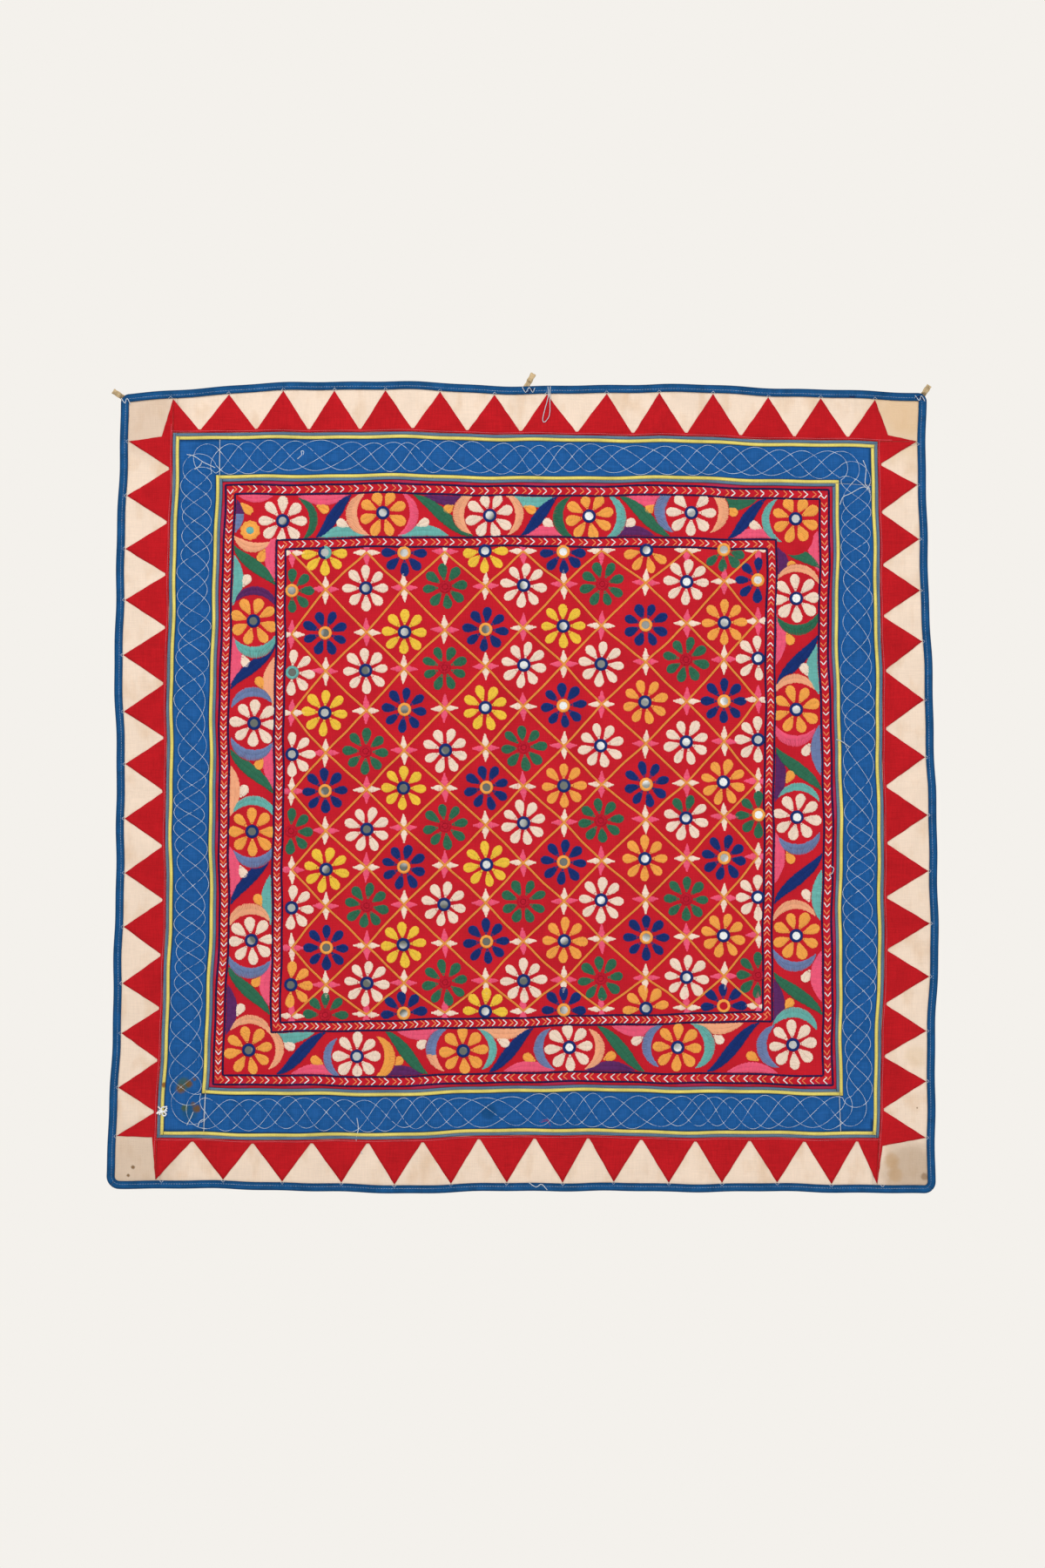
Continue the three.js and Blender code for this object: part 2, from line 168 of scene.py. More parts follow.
def tent(distance):
    share = np.maximum(0, 1 - np.abs(distance) / CREASE["reach"])
    return share**1.3


def puckers(x, z):
    """The small unevenness of hand-sewn cloth."""
    slow = np.sin(x / 41 + 1.3 * np.sin(z / 67)) * np.sin(z / 53 + 0.8 * np.sin(x / 59))
    quick = np.sin(x / 13 + z / 29 + np.sin(z / 17)) * np.sin(z / 11 - x / 31)
    return 0.36 * slow + 0.15 * quick


def on_cloth(x, z, lift):
    """Points on the cloth's surface at a lift, in millimetres."""
    x, z, lift = np.broadcast_arrays(x, z, lift)
    return np.stack([x, -(relief(x, z) + lift), z], -1)


def how_long(vectors):
    """The lengths of plan vectors."""
    return np.hypot(vectors[..., 0], vectors[..., 1])


def unit(vectors):
    return vectors / (how_long(vectors)[..., None] + 1e-9)


def left_of(vectors):
    """Plan vectors turned a quarter to the left."""
    return np.stack([-vectors[..., 1], vectors[..., 0]], -1)


# ---- Lines ----


def is_upright(side):
    return side in ("left", "right")


def through(values, at):
    """A smooth curve through evenly spaced values, carried on straight past both ends."""
    v = np.asarray(values, float)
    at = np.asarray(at, float)
    last = len(v) - 1
    padded = np.concatenate([[2 * v[0] - v[1]], v, [2 * v[-1] - v[-2]]])
    i = np.clip(np.floor(at).astype(int), 0, last - 1)
    t = np.clip(at, 0, last) - i
    s = 1 - t
    low, high = padded[i + 1], padded[i + 2]
    slope_in = (high - padded[i]) / 2
    slope_out = (padded[i + 3] - low) / 2
    curve = low * s * s * (1 + 2 * t) + high * t * t * (3 - 2 * t)
    curve = curve + t * s * (slope_in * s - slope_out * t)
    return curve + np.minimum(at, 0) * slope_in + np.maximum(at - last, 0) * slope_out


def line(name, side, offset=0.0):
    """One line moved outward by offset: the place across its side at each place along it."""
    values = LINES[name][side]
    shift = OUTWARD[side] * offset
    phase = 1.7 * (list(LINES).index(name) * len(SIDES) + SIDES.index(side))

    def place(along):
        along = np.asarray(along, float)
        station = -along / STATION if is_upright(side) else along / STATION + 3
        wander = 0.75 * np.sin(along / 33 + phase) + 0.45 * np.sin(along / 15 + 2 * phase)
        return through(values, station) + shift + wander

    return place


def ring(name, offset=0.0):
    return {side: line(name, side, offset) for side in SIDES}


def meeting(row, end_line):
    """Where a line along a side meets a line of its neighbour, as (along, across)."""
    across = row(0.0)
    for _ in range(6):
        across = row(end_line(across))
    return float(end_line(across)), float(across)


def placed(side, along, across):
    """Plan points (x, z) from places along and across a side."""
    pair = (across, along) if is_upright(side) else (along, across)
    return np.stack(np.broadcast_arrays(*pair), -1)


def strip_ends(side, row, inner, outer):
    """Where one row of a framing strip starts and ends along its side."""
    ends = []
    for kind, at in ENDS[side]:
        end = outer[at] if kind == "over" else lambda v, at=at: inner[at](v) - OUTWARD[at] * GAP
        ends.append(meeting(row, end)[0])
    return ends


def strip_grid(side, inner, outer, step, shares):
    """A grid of plan points over one side of a frame: steps along it by shares across it."""
    columns = []
    for share in shares:
        row = lambda v, share=share: (1 - share) * inner[side](v) + share * outer[side](v)
        start, finish = strip_ends(side, row, inner, outer)
        count = max(2, int(abs(finish - start) / step)) if not columns else len(columns[0])
        along = np.linspace(start, finish, count)
        columns.append(placed(side, along, row(along)))
    return np.stack(columns, 1)


def inside(points, limits, margin=0.0):
    """True for plan points that lie inside a ring of lines by a margin."""
    x, z = points[..., 0], points[..., 1]
    level = (z < limits["top"](x) - margin) & (z > limits["bottom"](x) + margin)
    return level & (x < limits["right"](z) - margin) & (x > limits["left"](z) + margin)


# ---- Meshes ----


def linked(name, data):
    """A new object with its data, in the scene."""
    made = bpy.data.objects.new(name, data)
    bpy.context.scene.collection.objects.link(made)
    return made


def make_object(name, points, faces=(), edges=()):
    """A smooth-shaded object from points in millimetres."""
    mesh = bpy.data.meshes.new(name)
    points = (np.asarray(points, float).reshape(-1, 3) * MM).tolist()
    faces = [list(map(int, face)) for face in faces]
    edges = [list(map(int, edge)) for edge in edges]
    mesh.from_pydata(points, edges, faces, shade_flat=False)
    mesh.validate()
    return linked(name, mesh)


def finished(made, finish, nodes=(), slot=None):
    """Gives a piece its look, and lets it ride in place of its CAD nodes; slot is not used."""
    if not made.data.materials:
        made.data.materials.append(look(finish))
    if nodes:
        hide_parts(*nodes)
    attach(made, BODY)
    return made


def outward(points, faces):
    """Turns a closed shell's faces to point out."""
    p = np.asarray(points, float)
    volume = 0.0
    for count in {len(face) for face in faces}:
        same = np.array([face for face in faces if len(face) == count])
        for k in range(2, count):
            a, b, c = p[same[:, 0]], p[same[:, k - 1]], p[same[:, k]]
            volume += np.einsum("ij,ij->", a, np.cross(b, c))
    return faces if volume > 0 else [face[::-1] for face in faces]


def grid_shell(front, back):
    """Points and faces of a closed sheet between two grids of 3D points."""
    n, m = front.shape[:2]
    index = np.arange(n * m).reshape(n, m)
    corners = (index[:-1, :-1], index[1:, :-1], index[1:, 1:], index[:-1, 1:])
    faces = np.stack(corners, -1).reshape(-1, 4)
    rim = np.concatenate([index[:, 0], index[-1, 1:], index[-2::-1, -1], index[0, -2:0:-1]])
    following = np.roll(rim, -1)
    walls = np.stack([following, rim, rim + n * m, following + n * m], -1)
    quads = np.concatenate([faces, faces[:, ::-1] + n * m, walls])
    points = np.concatenate([front.reshape(-1, 3), back.reshape(-1, 3)])
    return points, outward(points, quads.tolist())


def sheet_object(name, plan, back, front, puff=0.0, rounded=0.35):
    """A closed sheet over a grid of plan points between two lifts, its rim turned in a little."""
    lift = np.full(plan.shape[:2], float(front)) + puff
    for rim in (np.s_[0, :], np.s_[-1, :], np.s_[:, 0], np.s_[:, -1]):
        lift[rim] = front - rounded * (front - back)
    x, z = plan[..., 0], plan[..., 1]
    return make_object(name, *grid_shell(on_cloth(x, z, lift), on_cloth(x, z, back)))


def mark_points(made, name, values):
    """Stores a value for each front point of a sheet, with none on its back."""
    values = np.asarray(values, np.float32).ravel()
    mark = made.data.attributes.new(name, "FLOAT", "POINT")
    behind = np.zeros(len(made.data.vertices) - len(values), np.float32)
    mark.data.foreach_set("value", np.concatenate([values, behind]))


def swept_shell(sections):
    """Points and faces of a closed bar whose cross-sections are rings of 3D points."""
    n, m = sections.shape[:2]
    index = np.arange(n * m).reshape(n, m)
    turned = np.roll(index, -1, 1)
    quads = np.stack([index[:-1], turned[:-1], turned[1:], index[1:]], -1).reshape(-1, 4)
    faces = quads.tolist() + [index[0][::-1].tolist(), index[-1].tolist()]
    points = sections.reshape(-1, 3)
    return points, outward(points, faces)


def joined(parts):
    """One set of points and faces from several."""
    points, faces, first = [], [], 0
    for some, more in parts:
        faces += [[first + i for i in face] for face in more]
        points.append(some)
        first += len(some)
    return np.concatenate(points), faces


# ---- Materials ----


def linear(hex_colour):
    """Linear RGBA of an sRGB hex colour."""
    channels = [int(hex_colour[i : i + 2], 16) / 255 for i in (1, 3, 5)]
    bent = [c / 12.92 if c <= 0.04045 else ((c + 0.055) / 1.055) ** 2.4 for c in channels]
    return (*bent, 1.0)


def add(tree, kind, inputs=None, **settings):
    """Adds a node with its settings; an input takes a value, a socket or a node's first output."""
    node = tree.nodes.new(kind)
    for name, value in settings.items():
        setattr(node, name, value)
    for socket, value in (inputs or {}).items():
        if isinstance(value, bpy.types.Node):
            value = next(output for output in value.outputs if output.enabled)
        if isinstance(value, bpy.types.NodeSocket):
            tree.links.new(value, node.inputs[socket])
        else:
            node.inputs[socket].default_value = value
    return node


def new_material(name):
    material = bpy.data.materials.new(name)
    material.use_nodes = True
    tree = material.node_tree
    tree.nodes.clear()
    return material, tree


def millimetres(tree, stretch=(1, 1, 1)):
    """Object coordinates in millimetres, divided by stretch so that a pattern grows with it."""
    where = add(tree, "ShaderNodeTexCoord").outputs["Object"]
    scale = [1000 / s for s in stretch]
    return add(tree, "ShaderNodeMapping", {"Vector": where, "Scale": scale})


def mottle(tree, size, detail=2.0, low=0.35, high=0.65, stretch=(1, 1, 1), to=(0.0, 1.0)):
    """A soft cloudy value, between the two of to, whose clouds are about size millimetres wide."""
    where = {"Vector": millimetres(tree, stretch), "Scale": 1 / size, "Detail": detail}
    noise = add(tree, "ShaderNodeTexNoise", where)
    return add(tree, "ShaderNodeMapRange", {0: noise, 1: low, 2: high, 3: to[0], 4: to[1]})


RAGGED = 0.35  # how uneven a stain's rim is, as a share of its radius


def stained(tree, tint, x, z, radius, hue, strength):
    """A colour with a ragged stain of another hue centred at (x, z)."""
    where = millimetres(tree)
    flat = add(tree, "ShaderNodeVectorMath", {0: where, 1: (1, 0, 1)}, operation="MULTIPLY")
    far = add(tree, "ShaderNodeVectorMath", {0: flat, 1: (x, 0, z)}, operation="DISTANCE")
    edge = {"Vector": where, "Scale": 1.6 / radius, "Detail": 3.0}
    edge = add(tree, "ShaderNodeTexNoise", edge)
    reach = {0: edge, 1: 2 * RAGGED * radius, 2: far.outputs["Value"]}
    reach = add(tree, "ShaderNodeMath", reach, operation="MULTIPLY_ADD")
    limits = {0: reach, 1: radius * (1.2 + RAGGED), 2: radius * (0.5 + RAGGED), 4: strength}
    mask = add(tree, "ShaderNodeMapRange", limits, interpolation_type="SMOOTHSTEP")
    return add(tree, "ShaderNodeMix", {0: mask, 6: tint, 7: linear(hue)}, data_type="RGBA")


def finish(tree, colour, roughness, height, strength, depth, **sockets):
    """Ends a material in a principled shader with a bump a few tenths of a millimetre deep."""
    bump = {"Height": height, "Strength": strength, "Distance": depth * MM}
    bump = add(tree, "ShaderNodeBump", bump)
    inputs = {"Base Color": colour, "Roughness": roughness, "Normal": bump}
    shader = add(tree, "ShaderNodeBsdfPrincipled", {**inputs, **sockets})
    add(tree, "ShaderNodeOutputMaterial", {"Surface": shader})


# Plain-woven cotton: a matt, slightly hairy cloth with slubs in warp and weft and cloudy fading.
# Its yarns are 0.4 mm apart, too fine to show, so the slubs are drawn about a millimetre wide.
SLUB = {"width": 1.3, "length": 22.0, "contrast": 0.17}


def cotton(name, colour, shade, stains=(), cloud=55.0, slub=0.5, marks=(), soil=None):
    """Marks are vertex attributes that blend a colour in; soil is a hue of faint blotches."""
    material, tree = new_material(name)
    faded = mottle(tree, cloud, 4.0, 0.32, 0.7)
    tint = add(tree, "ShaderNodeMix", {0: faded, 6: colour, 7: shade}, data_type="RGBA")
    if soil:
        blotches = mottle(tree, 26.0, 5.0, 0.5, 0.75, (1, 1, 1.8), (0.0, 0.55))
        tint = add(tree, "ShaderNodeMix", {0: blotches, 6: tint, 7: linear(soil)}, data_type="RGBA")
    for mark, hue in marks:
        share = add(tree, "ShaderNodeAttribute", attribute_name=mark).outputs["Fac"]
        tint = add(tree, "ShaderNodeMix", {0: share, 6: tint, 7: hue}, data_type="RGBA")
    warp = mottle(tree, 1.0, 2.0, 0.3, 0.7, (SLUB["width"], 1, SLUB["length"]))
    weft = mottle(tree, 1.0, 2.0, 0.3, 0.7, (SLUB["length"], 1, SLUB["width"]))
    yarn = add(tree, "ShaderNodeMath", {0: warp, 1: weft}, operation="ADD")
    bright = {0: yarn, 2: 2.0, 3: 1 - SLUB["contrast"] * slub, 4: 1 + SLUB["contrast"] * slub}
    bright = add(tree, "ShaderNodeMapRange", bright)
    bright = add(tree, "ShaderNodeCombineColor", {0: bright, 1: bright, 2: bright})
    shaded = {0: 1.0, 6: tint, 7: bright}
    tint = add(tree, "ShaderNodeMix", shaded, data_type="RGBA", blend_type="MULTIPLY")
    for stain in stains:
        tint = stained(tree, tint, *stain)
    finish(tree, tint, 0.95, yarn, 0.4, 0.4, **{"Specular IOR Level": 0.1})
    return material


# Mercerised cotton floss: soft, loosely twisted thread with a low silky gloss. Each stitch has a
# tone of its own, and its plies show as fine slanting ridges.
def floss(name, colour, shade, gloss=0.16):
    material, tree = new_material(name)
    tone = add(tree, "ShaderNodeAttribute", attribute_name="tone").outputs["Fac"]
    faded = mottle(tree, 70.0, 3.0, 0.35, 0.65, to=(0.0, 0.3))
    share = {0: tone, 1: 0.6, 2: faded}
    share = add(tree, "ShaderNodeMath", share, operation="MULTIPLY_ADD")
    tint = add(tree, "ShaderNodeMix", {0: share, 6: colour, 7: shade}, data_type="RGBA")
    # Fine dark specks where the floss parts: painted shade in the pinholes.
    pinhole_shade = mottle(tree, 1.7, 1.0, 0.67, 0.75, to=(0.0, 0.45))
    tint = add(tree, "ShaderNodeMix", {0: pinhole_shade, 6: tint, 7: deeper(colour, 0.3)}, data_type="RGBA")
    uv = add(tree, "ShaderNodeUVMap", uv_map="UVMap")
    twist = {"Vector": uv, "Scale": 2.2, "Distortion": 0.6, "Detail": 1.0}
    plies = add(tree, "ShaderNodeTexWave", twist, bands_direction="DIAGONAL").outputs["Fac"]
    finish(tree, tint, 0.7, plies, 0.25, 0.3, **{"Specular IOR Level": gloss})
    return material


# Old hand-silvered glass, its colour painted reflection: white to dull grey, patchy, duller towards the
# left.
def mirror_glass(name, bright, dull):
    material, tree = new_material(name)
    reflection_patches = mottle(tree, 30.0, 0.0, 0.38, 0.62)
    where = add(tree, "ShaderNodeTexCoord").outputs["Object"]
    across = add(tree, "ShaderNodeSeparateXYZ", {0: where}).outputs["X"]
    # Painted reflection: duller towards the left of the hanging, in patches.
    dull_reflection = add(tree, "ShaderNodeMath", {0: across, 1: -1.6, 2: reflection_patches}, operation="MULTIPLY_ADD")
    dull_reflection = add(tree, "ShaderNodeMapRange", {0: dull_reflection, 1: -0.1, 2: 0.95})
    tint = add(tree, "ShaderNodeMix", {0: dull_reflection, 6: bright, 7: dull}, data_type="RGBA")
    specks = mottle(tree, 1.6, 3.0, 0.55, 0.75, to=(0.0, 0.5))
    tint = add(tree, "ShaderNodeMix", {0: specks, 6: tint, 7: linear("#5D625F")}, data_type="RGBA")
    finish(tree, tint, 0.3, specks, 0.1, 0.2, Metallic=0.4)
    return material


# ---- Thread trees ----


def stitch_template():
    """One stitch a unit long, wide and high: a low ridge with pointed ends."""
    rim = [(-0.5, 0), (-0.4, -0.5), (0.4, -0.5), (0.5, 0), (0.4, 0.5), (-0.4, 0.5)]
    points = [(x, y, 0) for x, y in rim] + [(-0.36, 0, 1), (0.36, 0, 1)]
    faces = [(0, 1, 6), (1, 2, 7, 6), (2, 3, 7), (3, 4, 7), (4, 5, 6, 7), (5, 0, 6)]
    faces.append((5, 4, 3, 2, 1, 0))
    mesh = bpy.data.meshes.new("stitch")
    mesh.from_pydata(points, [], faces, shade_flat=False)
    uv = mesh.uv_layers.new(name="UVMap")
    for loop in mesh.loops:
        x, y, _ = points[loop.vertex_index]
        uv.data[loop.index].uv = (x + 0.5, y + 0.5)
    return linked("stitch", mesh)


THREAD_INPUTS = (
    ("Geometry", "NodeSocketGeometry", None),
    ("Stitch", "NodeSocketObject", None),
    ("Width", "NodeSocketFloat", 0.0017),
    ("Height", "NodeSocketFloat", 0.0009),
    ("Cover", "NodeSocketFloat", 1.0),
    ("Wander", "NodeSocketFloat", 0.1),
    ("Seed", "NodeSocketInt", 1),
    ("Material", "NodeSocketMaterial", None),
)


def new_tree(name, extra=()):
    """A geometry node tree with the thread inputs, any extra ones, and its two end nodes."""
    tree = bpy.data.node_groups.new(name, "GeometryNodeTree")
    for label, kind, default in (*THREAD_INPUTS, *extra):
        socket = tree.interface.new_socket(name=label, in_out="INPUT", socket_type=kind)
        if default is not None:
            socket.default_value = default
    tree.interface.new_socket(name="Geometry", in_out="OUTPUT", socket_type="NodeSocketGeometry")
    return tree, tree.nodes.new("NodeGroupInput").outputs


def between(tree, given, low, high, seed_shift):
    """A random number for each stitch."""
    seed = add(tree, "FunctionNodeInputInt", integer=seed_shift)
    seed = add(tree, "ShaderNodeMath", {0: given["Seed"], 1: seed}, operation="ADD")
    return add(tree, "FunctionNodeRandomValue", {2: low, 3: high, "Seed": seed}).outputs[1]


def ended(tree, given, laid):
    """Ends a tree in plain geometry with the thread's material."""
    real = add(tree, "GeometryNodeRealizeInstances", {"Geometry": laid})
    dyed = {"Geometry": real, "Material": given["Material"]}
    add(tree, "NodeGroupOutput", {0: add(tree, "GeometryNodeSetMaterial", dyed)})
    return tree


def make_thread_tree():
    """Lays one stitch along every edge of a mesh, facing the front, with a tone of its own."""
    tree, given = new_tree("Thread on every edge")
    ends = add(tree, "GeometryNodeInputMeshEdgeVertices").outputs
    reach = {0: ends["Position 2"], 1: ends["Position 1"]}
    along = add(tree, "ShaderNodeVectorMath", reach, operation="SUBTRACT").outputs[0]
    kept = tree.nodes.new("GeometryNodeCaptureAttribute")
    kept.domain = "EDGE"
    kept.capture_items.new("VECTOR", "Along")
    tree.links.new(given["Geometry"], kept.inputs["Geometry"])
    tree.links.new(along, kept.inputs["Along"])
    middles = add(tree, "GeometryNodeMeshToPoints", {"Mesh": kept.outputs["Geometry"]}, mode="EDGES")
    along = kept.outputs["Along"]
    aim = add(tree, "FunctionNodeAlignRotationToVector", {"Vector": along}, axis="X")
    face = {"Rotation": aim, "Vector": (0, -1, 0)}
    face = add(tree, "FunctionNodeAlignRotationToVector", face, axis="Z", pivot_axis="X")
    length = add(tree, "ShaderNodeVectorMath", {0: along}, operation="LENGTH").outputs["Value"]
    spread = add(tree, "ShaderNodeMath", {0: 1.0, 1: given["Wander"]}, operation="ADD")
    shrink = add(tree, "ShaderNodeMath", {0: 1.0, 1: given["Wander"]}, operation="SUBTRACT")
    sizes = {}
    length = add(tree, "ShaderNodeMath", {0: length, 1: given["Cover"]}, operation="MULTIPLY")
    for axis, size, shift in (("X", length, 11), ("Y", given["Width"], 23), ("Z", given["Height"], 37)):
        share = between(tree, given, shrink, spread, shift)
        sizes[axis] = add(tree, "ShaderNodeMath", {0: size, 1: share}, operation="MULTIPLY")
    scale = add(tree, "ShaderNodeCombineXYZ", sizes)
    stitch = add(tree, "GeometryNodeObjectInfo", {"Object": given["Stitch"]}).outputs["Geometry"]
    laid = {"Points": middles, "Instance": stitch, "Rotation": face, "Scale": scale}
    laid = add(tree, "GeometryNodeInstanceOnPoints", laid)
    tone = {"Geometry": laid, "Name": "tone", "Value": between(tree, given, 0.0, 1.0, 53)}
    toned = add(tree, "GeometryNodeStoreNamedAttribute", tone, data_type="FLOAT", domain="INSTANCE")
    return ended(tree, given, toned)


def make_row_tree(thread_tree):
    """Cuts paths into stitches a pitch long, then lays a thread on each."""
    tree, given = new_tree("Row of stitches", [("Pitch", "NodeSocketFloat", 0.003)])
    paths = add(tree, "GeometryNodeMeshToCurve", {"Mesh": given["Geometry"]})
    even = {"Curve": paths, "Length": given["Pitch"]}
    even = add(tree, "GeometryNodeResampleCurve", even, mode="LENGTH")
    cut = add(tree, "GeometryNodeCurveToMesh", {"Curve": even}).outputs[0]
    laid = tree.nodes.new("GeometryNodeGroup")
    laid.node_tree = thread_tree
    tree.links.new(cut, laid.inputs["Geometry"])
    for label, _, _ in THREAD_INPUTS[1:]:
        tree.links.new(given[label], laid.inputs[label])
    return ended(tree, given, laid)


def grown(name, ends, edges, kind, finish, slot, width, height, cover, wander, seed, **more):
    """The piece that a tree grows on edges between ends; an end is (x, z, lift above the cloth)."""
    points = on_cloth(ends[:, 0], ends[:, 1], THREAD_BASE + ends[:, 2])
    values = {"Stitch": TREES["stitch"], "Width": width * MM, "Height": height * MM, "Cover": cover}
    values.update({"Wander": wander, "Seed": seed, "Material": look(finish), **more})
    seedling = make_object(name + "_paths", points, edges=edges)
    modifier = seedling.modifiers.new("threads", "NODES")
    modifier.node_group = TREES[kind]
    for item in TREES[kind].interface.items_tree:
        if item.in_out == "INPUT" and item.name in values:
            modifier[item.identifier] = values[item.name]
    evaluated = seedling.evaluated_get(bpy.context.evaluated_depsgraph_get())
    mesh = bpy.data.meshes.new_from_object(evaluated)
    mesh.name = name
    paths = seedling.data
    bpy.data.objects.remove(seedling)
    bpy.data.meshes.remove(paths)
    return finished(linked(name, mesh), finish, slot=slot)


THREAD_BASE = CLOTH - 0.1  # threads are sunk a tenth of a millimetre into the ground cloth


def lay_threads(name, threads, finish, slot, width, height, seed):
    """One stitch for each pair of ends."""
    ends = np.concatenate(threads).reshape(-1, 3)
    edges = np.arange(len(ends)).reshape(-1, 2)
    grown(name, ends, edges, "thread", finish, slot, width, height, cover=1.0, wander=0.1, seed=seed)


def lay_rows(name, paths, finish, slot, pitch, width, height, cover, seed):
    """Rows of stitches a pitch apart along paths; cover is the share of it that a stitch fills."""
    numbers = np.split(np.arange(sum(map(len, paths))), np.cumsum([len(path) for path in paths])[:-1])
    edges = np.concatenate([np.stack([run[:-1], run[1:]], 1) for run in numbers])
    ends = np.concatenate(paths)
    pitch = pitch * MM
    grown(name, ends, edges, "row", finish, slot, width, height, cover, 0.08, seed, Pitch=pitch)


def lay_dyed(prefix, dyed, lay, slot, seed, unlike=None, **sizes):
    """One piece for each dye; unlike holds the sizes of the dyes that differ from the others."""
    for k, (dye, threads) in enumerate(dyed.items()):
        own = {**sizes, **(unlike or {}).get(dye, {})}
        lay(f"{prefix}_{dye}", threads, f"{dye}_thread", slot, seed=seed + k, **own)


TREES = {}

# ---- Embroidered shapes ----


def lifted(points, lift=0.0):
    """Plan points with a lift added as their third number."""
    points = np.asarray(points, float)
    lift = np.broadcast_to(lift, points.shape[:-1])
    return np.concatenate([points, lift[..., None]], -1)


def turned(length, degrees):
    """A plan vector of some length at an angle from straight up, clockwise."""
    angle = np.radians(degrees)
    return np.stack([length * np.sin(angle), length * np.cos(angle)], -1)


def evenly(path, pitch):
    """Points spaced a pitch apart along a path, their shares of its length and its left normals."""
    steps = how_long(np.diff(path, axis=0))
    reach = np.concatenate([[0], np.cumsum(steps)])
    count = max(2, round(reach[-1] / pitch))
    share = (np.arange(count) + 0.5) / count
    at = share * reach[-1]
    spot = lambda distance: np.stack([np.interp(distance, reach, row) for row in path.T], -1)
    return spot(at), share, left_of(unit(spot(at + 0.5) - spot(at - 0.5)))


def petal_share(t):
    """A petal's half-width: narrow at the heart, rounded at the tip."""
    growing = 0.2 + 0.8 * np.sin(np.pi / 2 * np.clip(t / 0.7, 0, 1)) ** 1.4
    round_end = np.sqrt(np.clip(1 - (np.clip(t - 0.7, 0, 1) / 0.31) ** 2, 0, 1))
    return growing * round_end


def lens_share(t):
    return np.sin(np.pi * np.clip(t, 0, 1)) ** 0.85


def arm_share(t):
    """A star arm's half-width: widest near the centre, drawn out to a point."""
    return np.where(t < 0.34, 0.4 + 0.6 * t / 0.34, np.clip((1 - t) / 0.66, 0, 1) ** 1.2)


# How far the middle of a wide place rises, and the width below which one thread spans a shape.
SATIN = {"dome": 0.35, "single": 4.5}


def satin(left, right, rng, rows=2, ragged=1.0, middle=None):
    """Threads across a shape between its two edges, meeting along its middle in wide places."""
    left, right = np.asarray(left, float), np.asarray(right, float)
    middle = (left + right) / 2 if middle is None else middle
    width = how_long(left - right)
    single = (width < SATIN["single"]) if rows == 2 else np.ones(len(left), bool)
    threads = [np.stack([lifted(left), lifted(right)], 1)[single & (width > 0.8)]]
    if rows == 2:
        for edge, other in ((left, right), (right, left)):
            heart = middle + (other - edge) * 0.05
            threads.append(np.stack([lifted(edge), lifted(heart, SATIN["dome"])], 1)[~single])
    threads = np.concatenate(threads)
    along = unit(threads[:, 1, :2] - threads[:, 0, :2])
    threads[:, 0, :2] -= along * rng.uniform(0.1, ragged, len(threads))[:, None]
    if rows == 1:
        threads[:, 1, :2] += along * rng.uniform(0.1, ragged, len(threads))[:, None]
    return threads


def shape_threads(spine, width, share, pitch, rng, rows=2, slant=0.0, **look):
    """Satin over a shape that has a spine and a width along it."""
    points, t, normal = evenly(np.asarray(spine, float), pitch)
    half = normal * (width / 2 * share(t))[:, None]
    middle = points + left_of(normal) * slant
    return satin(points + half, points - half, rng, rows, middle=middle, **look)


def clipped(threads, fits):
    """The parts of threads that lie where fits(points) is true."""
    kept = fits(threads[..., :2])
    threads = threads[kept.any(-1)].copy()
    kept = kept[kept.any(-1)]
    for end in (0, 1):
        cut = ~kept[:, end]
        good, bad = threads[cut, 1 - end], threads[cut, end]
        for _ in range(7):
            middle = (good + bad) / 2
            fitting = fits(middle[:, :2])[:, None]
            good, bad = np.where(fitting, middle, good), np.where(fitting, bad, middle)
        threads[cut, end] = good
    return threads[how_long(threads[:, 0, :2] - threads[:, 1, :2]) > 1.0]


# What is tried to fit a petal in at an edge, as (degrees turned, share of its length).
NUDGED = ((0, 1.0), (5, 1.0), (-5, 1.0), (9, 0.98), (-9, 0.98), (13, 0.95), (-13, 0.95), (0, 0.85))
SHORTENED = ((0, 1.0), (0, 0.95), (0, 0.9), (6, 0.95), (-6, 0.95), (0, 0.85), (8, 0.88), (-8, 0.88))


def flower(x, z, turn, heart, reach, width, limits, tries, rng, pitch):
    """The threads of each of eight petals round (x, z). At an edge only those that fit are worked."""
    petals = []
    centre = np.array([x, z])
    for k in range(8):
        angle = turn + 45 * k + rng.uniform(-2, 2)
        tip = reach * rng.uniform(0.94, 1.03)
        broad = width * rng.uniform(0.9, 1.08)
        for nudge, share in tries:
            long = tip * share
            shoulder, end = centre + turned(np.array([0.74 * long, long]), angle + nudge)
            if inside(shoulder, limits, broad / 2 - 1) and inside(end, limits):
                spine = centre + turned(np.linspace(heart, long, 8), angle + nudge)
                petal = shape_threads(spine, broad, petal_share, pitch, rng, slant=-1.1, ragged=0.6)
                petals.append(petal)
                break
    return petals


def mirror_ring(x, z, inner, outer, rise=1.45, count=32):
    """Threads that hold a mirror, from over its edge out to the cloth."""
    angles = np.arange(count) * 360 / count
    near = lifted([x, z] + turned(inner, angles), rise)
    far = lifted([x, z] + turned(outer, angles), 0.1)
    return np.stack([near, far], 1)


# ---- The centre field ----

